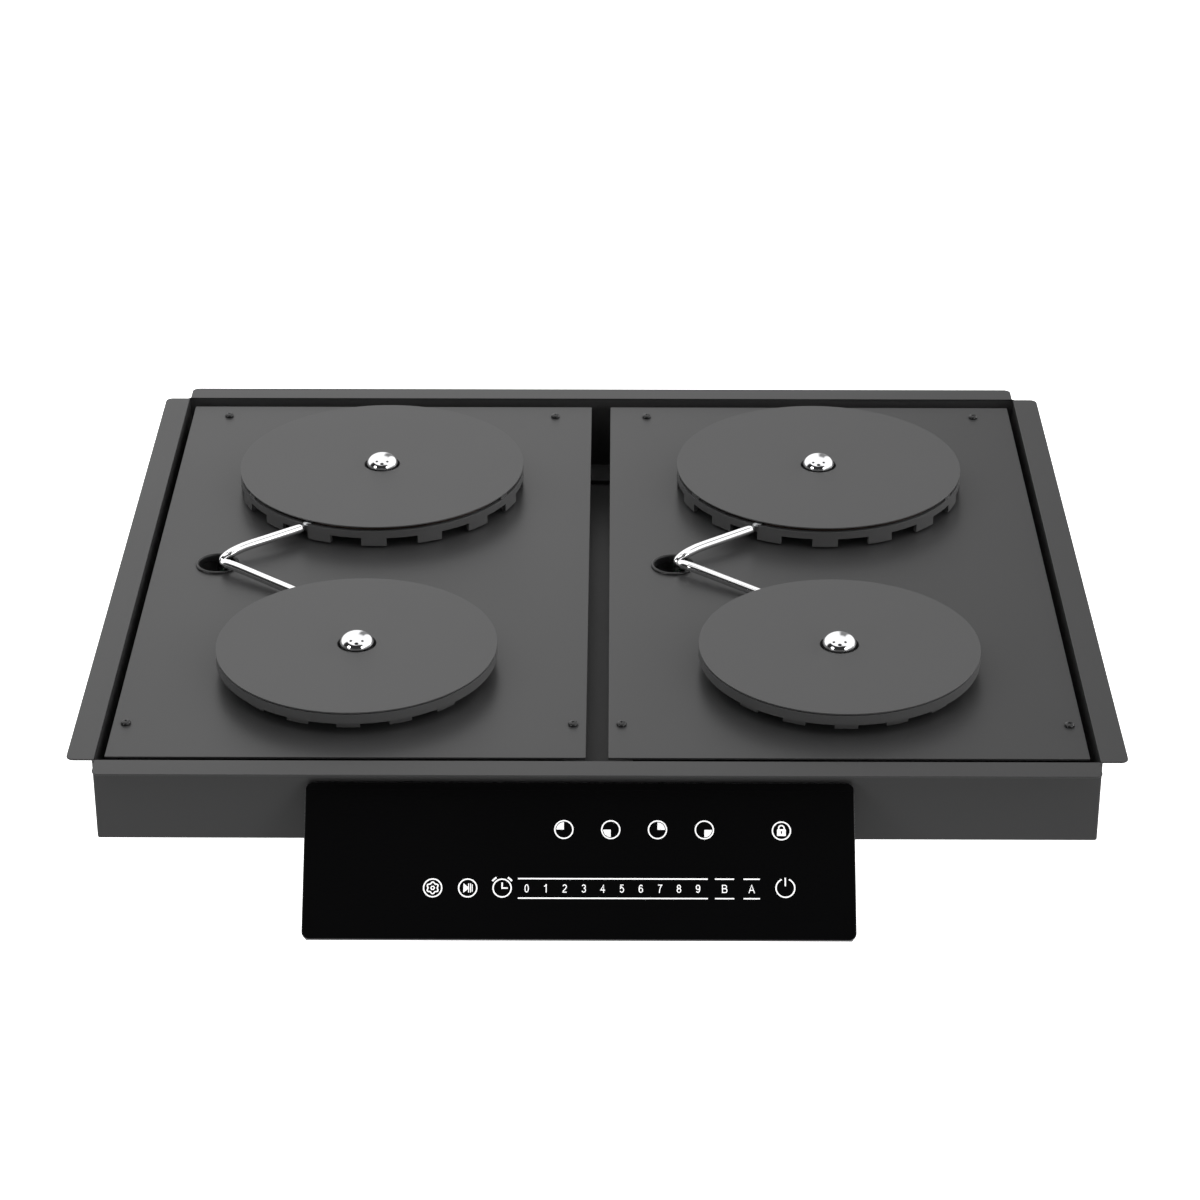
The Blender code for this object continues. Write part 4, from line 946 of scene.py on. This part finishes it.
def buildKeys():
    low, high = console["ink"]
    shape = bmesh.new()
    width = keys["line"] * mm

    def draw(line, spot, closed=False, wide=width):
        ribbon(shape, atKey(line, spot), wide, low, high, closed)

    def fill(line, spot):
        block(shape, atKey(line, spot), low, high, 0)

    def badge(key):
        draw(circleLine(keys["ring"], 56), keys[key], True)
        return keys[key]

    for across, quarter in zip(keys["zoneX"], keys["quarters"]):
        spot = (across, keys["zoneY"])
        draw(circleLine(keys["ring"], 56), spot, True)
        fill([(0, 0), *arcLine(4.75, quarter, quarter + 90, 14)], spot)

    spot = badge("lock")
    body = boxLine(5.6, 4.4, (0, -1.1), 0.5, 3)
    keyhole = [*arcLine(0.62, -60, 240, 10, (0, -0.7)), (-0.28, -2.2), (0.28, -2.2)]
    pierced(shape, atKey(body, spot), [atKey(keyhole, spot)], low, high, 0.01 * mm, 1)
    draw([(1.75, 0.9), *arcLine(1.75, 0, 180, 14, (0, 1.7)), (-1.75, 0.9)], spot, wide=0.85 * mm)

    spot = badge("gear")
    petals = []
    for i in range(72):
        angle = 2 * math.pi * i / 72
        reach = 3.35 + 0.45 * math.cos(6 * angle)
        petals.append((reach * math.sin(angle), reach * math.cos(angle)))
    draw(petals[::-1], spot, True, 0.8 * mm)
    draw(circleLine(1.15, 6), spot, True, 0.7 * mm)

    spot = badge("play")
    fill([(-2.7, -3.0), (1.0, 0.0), (-2.7, 3.0)], spot)
    for x in (0.55, 1.75, 2.85):
        reach = 2.9 if x < 2 else 2.3
        draw([(x, -reach), (x, reach)], spot, wide=0.6 * mm)

    spot = badge("clock")
    draw([(0, 3.6), (0, 0), (3.6, 0)], spot, wide=0.9 * mm)
    for sign in (-1, 1):
        draw(arcLine(7.6, 90 - sign * 28, 90 - sign * 54, 8), spot, wide=1.1 * mm)

    spot = keys["power"]
    draw(arcLine(5.9, 112, 428, 48), spot)
    draw([(0, 1.2), (0, 6.6)], spot)

    for down in keys["tracks"]:
        draw([(keys["slider"][0], 0), (keys["slider"][1], 0)], (0, down))
        for _, start, stop in keys["letters"]:
            draw([(start, 0), (stop, 0)], (0, down))

    labels = [(str(i), keys["digitX"] + i * keys["digitPitch"]) for i in range(10)]
    labels += [(letter, (start + stop) / 2) for letter, start, stop in keys["letters"]]
    for label, across in labels:
        for line, closed in strokes[label]:
            draw(line, (across, sum(keys["tracks"]) / 2), closed, keys["stroke"] * mm)
    addPiece("console_keys", shape, "keyInk", place=consolePlace, baked=True)


def buildConsole():
    width, height = glassHigh.x - glassLow.x, (glassHigh.z - glassLow.z - console["glass"] * math.cos(lean))
    height /= math.sin(lean)
    shape = bmesh.new()
    line = boxLine(width, height, (0, -height / 2), console["corner"], 12)
    block(shape, line, -console["glass"], 0, console["edge"], 4)
    pane = meshOf(shape, "console_pane")
    pane.materials.append(finishes["consoleGlass"])
    pane.materials.append(finishes["glassEdge"])
    # the bevel faces take the lighter edge grey: ground glass, and also a painted highlight
    for face in pane.polygons:
        face.material_index = int(abs(face.normal.z) < 0.98)
    addPiece("console_pane", pane, None, ["console_glass"], place=consolePlace, baked=True)

    # Housing: a moulded tray whose upper edge is cut to the tray's wall
    front = -console["glass"] - clearance
    back = front - console["depth"]
    low, half = -height + console["inset"], width / 2 - console["inset"]
    wallY = -tray["opening"][1] / 2 - tray["sheet"] - clearance
    origin, toGlass = consolePlace.translation, consolePlace.inverted()

    def wallLine(depth):
        return (wallY - origin.y + depth * math.sin(lean)) / math.cos(lean)

    alongX = Matrix(((0, 0, 1, 0), (1, 0, 0, 0), (0, 1, 0, 0), (0, 0, 0, 1)))
    rise = (-console["inset"] - wallLine(front)) / (wallLine(back) - wallLine(front)) * (back - front)
    line = [(-console["inset"], front), (-console["inset"], front + rise), (wallLine(back), back),
            (low + 6 * mm, back), (low, back + 6 * mm), (low, front)]
    area = sum(a[0] * b[1] - b[0] * a[1] for a, b in zip(line, line[1:] + line[:1]))
    shape = bmesh.new()
    block(shape, soften(line if area > 0 else line[::-1], 1.2 * mm, 4), -half, half, 0.9 * mm, 3, alongX)
    wall, seat = console["wall"], front - console["seat"]
    pocket = bmesh.new()
    upper = wallLine(seat) - 2 * wall
    block(pocket, [(low + wall, seat), (upper, seat), (upper, 1 * mm), (low + wall, 1 * mm)], -half + wall,
          half - wall, 0, turn=alongX)
    well = bmesh.new()
    floor = back + wall
    upper = wallLine(floor) - 2 * wall
    lip, inner = seat + clearance, low + 4 * wall
    block(well, [(inner, floor), (upper, floor), (upper, lip), (inner, lip)], -half + 4 * wall, half - 4 * wall, 0,
          turn=alongX)
    meshes = [meshOf(shape, "consoleTub"), meshOf(pocket, "consolePocket"), meshOf(well, "consoleWell")]
    for side in sides:
        bore = bmesh.new()
        screw = toGlass @ middleOf(f"console_screw_{side}")
        block(bore, circleLine(screwHole, 16, (screw.x, screw.y)), back - 2 * mm, floor + 1 * mm, 0)
        meshes.append(meshOf(bore, "consoleBore"))
    passage = bmesh.new()
    block(passage, cableLine(wallY, 5 * mm), wallY - 14 * mm, wallY + 1 * mm, 0,
          turn=turned(-90, "X"))
    passage = meshOf(passage, "consolePassage")
    passage.transform(toGlass)
    tub = carve(meshes[0], [*meshes[1:], passage])
    addPiece("console_tub", tub, "consolePlastic", ["console_housing"],
             place=consolePlace, baked=True)
    for side in sides:
        node = f"console_screw_{side}"
        spot = toGlass @ middleOf(node)
        seatZ = back - 2 * clearance - plates["sheet"]        # below the bracket, as thick as a coil plate
        place = consolePlace @ Matrix.Translation((spot.x, spot.y, seatZ)) @ turned(180, "X")
        addPiece(f"consoleScrew_{side}", panScrew, None, [node], place=place)


buildConsole()
buildKeys()
print("console")

inside = {
    "fanBore": 38 * mm, "fanCorner": 5 * mm, "spoke": 5 * mm, "spokeHeight": 3 * mm, "hub": 16 * mm,
    "blades": 7, "bladeTip": 36.2 * mm, "mountHole": 2 * mm, "mountReach": 35.75 * mm, "shaft": 2 * mm,
    "shaftBore": 2.3 * mm, "shaftTop": 0.6, "glandBore": 5 * mm, "glandNeck": 8 * mm, "glandFlange": 12 * mm,
    "ribs": 3, "ribPitch": 1.8 * mm,
    # the power boards: millimetres from one part to the next, and from the heat sink
    "cans": (26, 24, 24), "films": (14, 19, 26), "transistors": (16, 29, 3), "legPitch": 5.4 * mm, "pinPitch": 1.27,
    "chips": ((-52, 52, 18, 12), (-20, 58, 10, 10), (8, 54, 12, 8), (70, 60, 14, 10)),
    "chokeTurns": 30, "chokeReach": (12 * mm, 5.2 * mm, 7.5 * mm), "clamps": ((14, 0), (14, 14), (14, -14)),
}


def buildFan(side):
    low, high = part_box(f"fan_housing_{side}")
    middle = (low + high) / 2
    spot = Matrix.Translation((middle.x, middle.y, low.z))
    wide, deep = high.x - low.x, high.z - low.z
    shape = bmesh.new()
    holes = [circleLine(inside["fanBore"], 72)]
    for sx in (-1, 1):
        for sy in (-1, 1):
            holes.append(circleLine(inside["mountHole"], 16, (sx * inside["mountReach"], sy * inside["mountReach"])))
    pierced(shape, boxLine(wide, wide, radius=inside["fanCorner"], count=8), holes, 0, deep, 0.6 * mm, 3)
    for turn in (0, 90):
        spin = turned(turn)
        block(shape, boxLine(2 * inside["fanBore"] + 1.5 * mm, inside["spoke"]), 0.2 * mm, inside["spokeHeight"],
              0.5 * mm, 2, spin)
    shaft, shaftTop, motor = inside["shaft"], deep * inside["shaftTop"], inside["hub"] - 2 * mm
    boss = [(0, 0.1 * mm), (motor, 0.1 * mm), (motor, 5 * mm), (shaft, 5 * mm), (shaft, shaftTop), (0, shaftTop)]
    lathe(shape, soften(boss, 0.5 * mm, 2), 48)
    addPiece(f"fanFrame_{side}", shape, "fanPlastic", [f"fan_housing_{side}"], place=spot)

    low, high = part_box(f"fan_rotor_{side}")
    foot, top = low.z - spot.translation.z, high.z - spot.translation.z
    bore = inside["shaftBore"]
    hub = [(bore, foot), (inside["hub"], foot), (inside["hub"], top), (0, top), (0, shaftTop + clearance),
           (bore, shaftTop + clearance)]
    shape = bmesh.new()
    lathe(shape, soften(hub, 0.9 * mm, 3), 64)
    for i in range(inside["blades"]):
        stations = []
        for step in range(7):
            t = step / 6
            reach = inside["hub"] - 0.8 * mm + (inside["bladeTip"] - inside["hub"] + 0.8 * mm) * t
            chord, pitch = (15 + 6 * t) * mm, math.radians(52 - 20 * t)
            sweep = 2 * math.pi * i / inside["blades"] + 0.30 * t
            line = []
            for k in range(14):
                u = math.cos(2 * math.pi * k / 14)
                thick = (0.75 if math.sin(2 * math.pi * k / 14) > 0 else -0.75) * mm * math.sqrt(max(1 - u * u, 0))
                along, camber = u * chord / 2, 1.3 * mm * (1 - u * u)
                flat = along * math.cos(pitch) - (thick + camber) * math.sin(pitch)
                lift = along * math.sin(pitch) + (thick + camber) * math.cos(pitch)
                angle = sweep + flat / reach
                line.append(Vector((reach * math.cos(angle), reach * math.sin(angle), (foot + top) / 2 + lift)))
            stations.append([shape.verts.new(p) for p in line])
        tube(shape, stations)
    addPiece(f"fanBlades_{side}", shape, "fanPlastic", [f"fan_rotor_{side}"],
             f"fan_{side}", spot, sharp=50)


def buildGland():
    middle = middleOf("cable_gland")
    bore, neck, flange = inside["glandBore"], inside["glandNeck"], inside["glandFlange"]
    wall, barb = tray["opening"][1] / 2, neck + 1 * mm
    outside = wall + tray["sheet"]
    profile = [(bore, wall - 9 * mm), (neck, wall - 9 * mm), (barb, wall - 4 * mm), (barb, wall - clearance),
               (neck, wall - clearance), (neck, outside + clearance), (flange, outside + clearance),
               (flange, outside + 3 * mm), (neck, outside + 3.6 * mm)]
    for i in range(inside["ribs"]):
        start = outside + 4.2 * mm + i * inside["ribPitch"]
        profile += [(neck, start), (neck - 0.7 * mm, start + 0.4 * mm), (neck - 0.7 * mm, start + 1.1 * mm),
                    (neck, start + 1.5 * mm)]
    profile += [(neck, outside + 10 * mm), (bore, outside + 10 * mm)]
    shape = bmesh.new()
    lathe(shape, soften(profile, 0.3 * mm, 2), 56)
    addPiece("cordBush", shape, "rubber", ["cable_gland"],
             place=Matrix.Translation((middle.x, 0, middle.z)) @ turned(-90, "X"))


def buildInside():
    for node in ("rail_front", "rail_rear", "console_bracket"):
        keepNode(node, "trayCoat")
    for node in (*boards, "console_board"):
        keepNode(node, "circuitBoard")
    for side in sides:
        keepNode(f"heat_sink_{side}", "aluminium")
        buildFan(side)
    keepNode("terminal_block", "nylon")
    keepNode("console_cable", "cableJacket")
    buildGland()
    for side in sides:
        low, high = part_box(f"power_board_{side}")
        sinkLow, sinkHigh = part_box(f"heat_sink_{side}")
        top, middle = high.z, (low.x + high.x) / 2
        cans, films, chips, pins, coreCoils, sockets = [bmesh.new() for _ in range(6)]
        start, pitch, away = [size * mm for size in inside["cans"]]
        for i in range(3):
            place = Matrix.Translation((low.x + start + i * pitch, sinkHigh.y + away, top))
            can = [(0, 0.1 * mm), (9 * mm, 0.1 * mm), (9 * mm, 2.4 * mm), (8.5 * mm, 3 * mm), (9 * mm, 3.6 * mm),
                   (9 * mm, 30 * mm), (7.6 * mm, 30 * mm), (7.4 * mm, 29.6 * mm), (0, 29.6 * mm)]
            lathe(cans, soften(can, 0.5 * mm, 2), 40, place)
        start, pitch, away = [size * mm for size in inside["films"]]
        for i in range(4):
            line = boxLine(13 * mm, 26 * mm, (middle + start + i * pitch, sinkHigh.y + away), 0.8 * mm, 2)
            block(films, line, top + 0.2 * mm, top + 22 * mm, 0.6 * mm, 2)
        start, pitch, away = [size * mm for size in inside["transistors"]]
        for i in range(4):
            # Power transistors lean on the heat sink's side.
            across, along = sinkLow.x + start + i * pitch, sinkHigh.y + away
            block(chips, boxLine(15.6 * mm, 5 * mm, (across, along), 0.4 * mm, 2), top + 4 * mm, top + 24 * mm,
                  0.4 * mm, 2)
            for k in (-1, 0, 1):
                leg = boxLine(1.1 * mm, 0.6 * mm, (across + k * inside["legPitch"], along))
                block(pins, leg, top - 0.2 * mm, top + 5 * mm, 0.1 * mm, 1)
        for x, y, w, d in inside["chips"]:
            spot = (middle + x * mm, sinkHigh.y + y * mm)
            block(chips, boxLine(w * mm, d * mm, spot, 0.3 * mm, 1), top + 0.5 * mm, top + 2.6 * mm, 0.25 * mm, 1)
            for k in range(int(w / inside["pinPitch"]) - 1):
                for sign in (-1, 1):
                    leg = boxLine(0.5 * mm, 1.6 * mm, (spot[0] + (k + 1) * inside["pinPitch"] * mm - w / 2 * mm,
                                                       spot[1] + sign * (d / 2 + 0.5) * mm))
                    block(pins, leg, top + 0.05 * mm, top + 0.7 * mm, 0.08 * mm, 1)
        for i in range(2):
            spot = Vector((middle - 40 * mm + i * 80 * mm, high.y - 24 * mm, top + 10 * mm))
            ringRoute = []
            middleReach, wide, tall = inside["chokeReach"]
            for k in range(721):
                a, b = 2 * math.pi * k / 720, 2 * math.pi * k / 720 * inside["chokeTurns"]
                reach = middleReach + wide * math.cos(b)
                ringRoute.append(spot + Vector((reach * math.cos(a), reach * math.sin(a), tall * math.sin(b))))
            hose(coreCoils, ringRoute, 0.55 * mm, 6)
            core = [(8 * mm, -6 * mm), (16 * mm, -6 * mm), (16 * mm, 6 * mm), (8 * mm, 6 * mm)]
            lathe(chips, soften(core, 1 * mm, 2), 40, Matrix.Translation(spot))
        # Clamps hold the feet of the coil leads on the board.
        ringSpot = middleOf(f"grommet_{side}")
        for x, y in inside["clamps"]:
            line = boxLine(10 * mm, 11 * mm, (ringSpot.x + x * mm, ringSpot.y + y * mm), 0.5 * mm, 2)
            block(sockets, line, top + 0.2 * mm, top + 9 * mm, 0.4 * mm, 2)
        for name, shape, finish in (("smoothingCans", cans, "capSleeve"), ("filmCapacitors", films, "filmBox"),
                                    ("chips", chips, "chipBody"), ("chipLegs", pins, "tinned"),
                                    ("chokes", coreCoils, "copper"), ("sockets", sockets, "nylon")):
            addPiece(f"{name}_{side}", shape, finish)


buildInside()
print("inside")

studio = {
    "floorDrop": 0.30, "floorGlow": 1.05,
    "sky": 1.17, "frontSky": 1.22, "dark": 0.03, "ground": 0.75,
    "backFrom": -0.42, "backTo": -0.22, "turned": 0.42, "topFrom": 0.62, "topTo": 0.70,
    "dimFrom": 0.0, "dimTo": 0.14, "dimEnd": 0.30, "dimPast": 0.42, "dimLow": 0.60, "dimHigh": 0.85, "dim": 0.20,
    "horizon": (-0.06, 0.02),
    # direction, inner and outer radius of each dark patch of the sky
    "patches": (((0, -0.55, 0.835), 0.17, 0.24), ((-0.49, -0.06, 0.87), 0.11, 0.15),
                ((0.49, -0.06, 0.87), 0.11, 0.15)),
    # degrees from the front, degrees up, radius, strength of each soft box
    "boxes": ((-50, 12, 0.20, 5.5), (42, 12, 0.20, 4.5), (106, 14, 0.20, 4.0)),
    "camera": (11.83 * mm, -2160.98 * mm, 1108.93 * mm), "lens": 103.134, "pitch": 27.806, "yaw": 0.3,
}


def buildFloor():
    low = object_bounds()[0].z - studio["floorDrop"]
    shape = bmesh.new()
    shape.faces.new([shape.verts.new((x * 30, y * 30, low)) for x, y in ((-1, -1), (1, -1), (1, 1), (-1, 1))])
    mesh = meshOf(shape, "studioFloor")
    mesh.materials.append(Finish("studioFloor", (0.9, 0.9, 0.9), 0.7, 0.0, Emission_Color=(1, 1, 1, 1),
                                 Emission_Strength=studio["floorGlow"]).material)
    floor = show("studioFloor", mesh)
    floor.visible_diffuse = floor.visible_glossy = floor.visible_shadow = False


def buildSky():
    # bright above and behind, dark low in front and on the left, with three soft boxes
    world = bpy.data.worlds.new("studioSky")
    bpy.context.scene.world = world
    world.use_nodes = True
    sky = Wiring(world.node_tree, "Background")
    spot = sky.add("ShaderNodeTexCoord")
    x, y, z = sky.split(spot)

    def near(middle, inner, outer):
        middle = Vector(middle).normalized()
        gap = sky.add("ShaderNodeVectorMath", {"operation": "DISTANCE"}, {0: spot, 1: middle}, 1)
        return sky.ramp(gap, inner, outer, 1.0, 0.0)

    behind = sky.ramp(y + x * studio["turned"], studio["backFrom"], studio["backTo"])
    above = sky.ramp(z, studio["topFrom"], studio["topTo"])
    bright = behind * studio["sky"] + (1 - behind) * above * studio["frontSky"]
    # a dimmer stretch low on the right behind the object
    right = sky.ramp(x, studio["dimFrom"], studio["dimTo"])
    right = right * sky.ramp(x, studio["dimEnd"], studio["dimPast"], 1.0, 0.0)
    right = right * sky.ramp(z, studio["dimLow"], studio["dimHigh"], 1.0, 0.0)
    bright = bright * (1 - right * (1 - studio["dim"]))
    for middle, inner, outer in studio["patches"]:
        bright = bright * (1 - near(middle, inner, outer))
    total = (bright + studio["dark"]) * sky.ramp(z, *studio["horizon"])
    total = total + sky.ramp(z, *studio["horizon"], studio["ground"], 0.0)
    for turn, rise, radius, strength in studio["boxes"]:
        turn, rise = math.radians(turn), math.radians(rise)
        middle = (math.sin(turn) * math.cos(rise), -math.cos(turn) * math.cos(rise), math.sin(rise))
        total = total + near(middle, radius * 0.85, radius) * strength
    sky.fill(sky.shader, {"Strength": total, "Color": (1, 1, 1, 1)})


def buildCamera():
    scene = bpy.context.scene
    scene.view_settings.view_transform = "Standard"
    scene.view_settings.look = "None"
    eye = bpy.data.cameras.new("studioCamera")
    eye.lens, eye.sensor_width, eye.sensor_fit = studio["lens"], 36, "HORIZONTAL"
    eye.clip_end = 100
    camera = show("studioCamera", eye)
    camera.location = studio["camera"]
    camera.rotation_euler = (math.radians(90 - studio["pitch"]), 0, math.radians(studio["yaw"]))
    scene.camera = camera


buildFloor()
buildSky()
buildCamera()
print("studio")
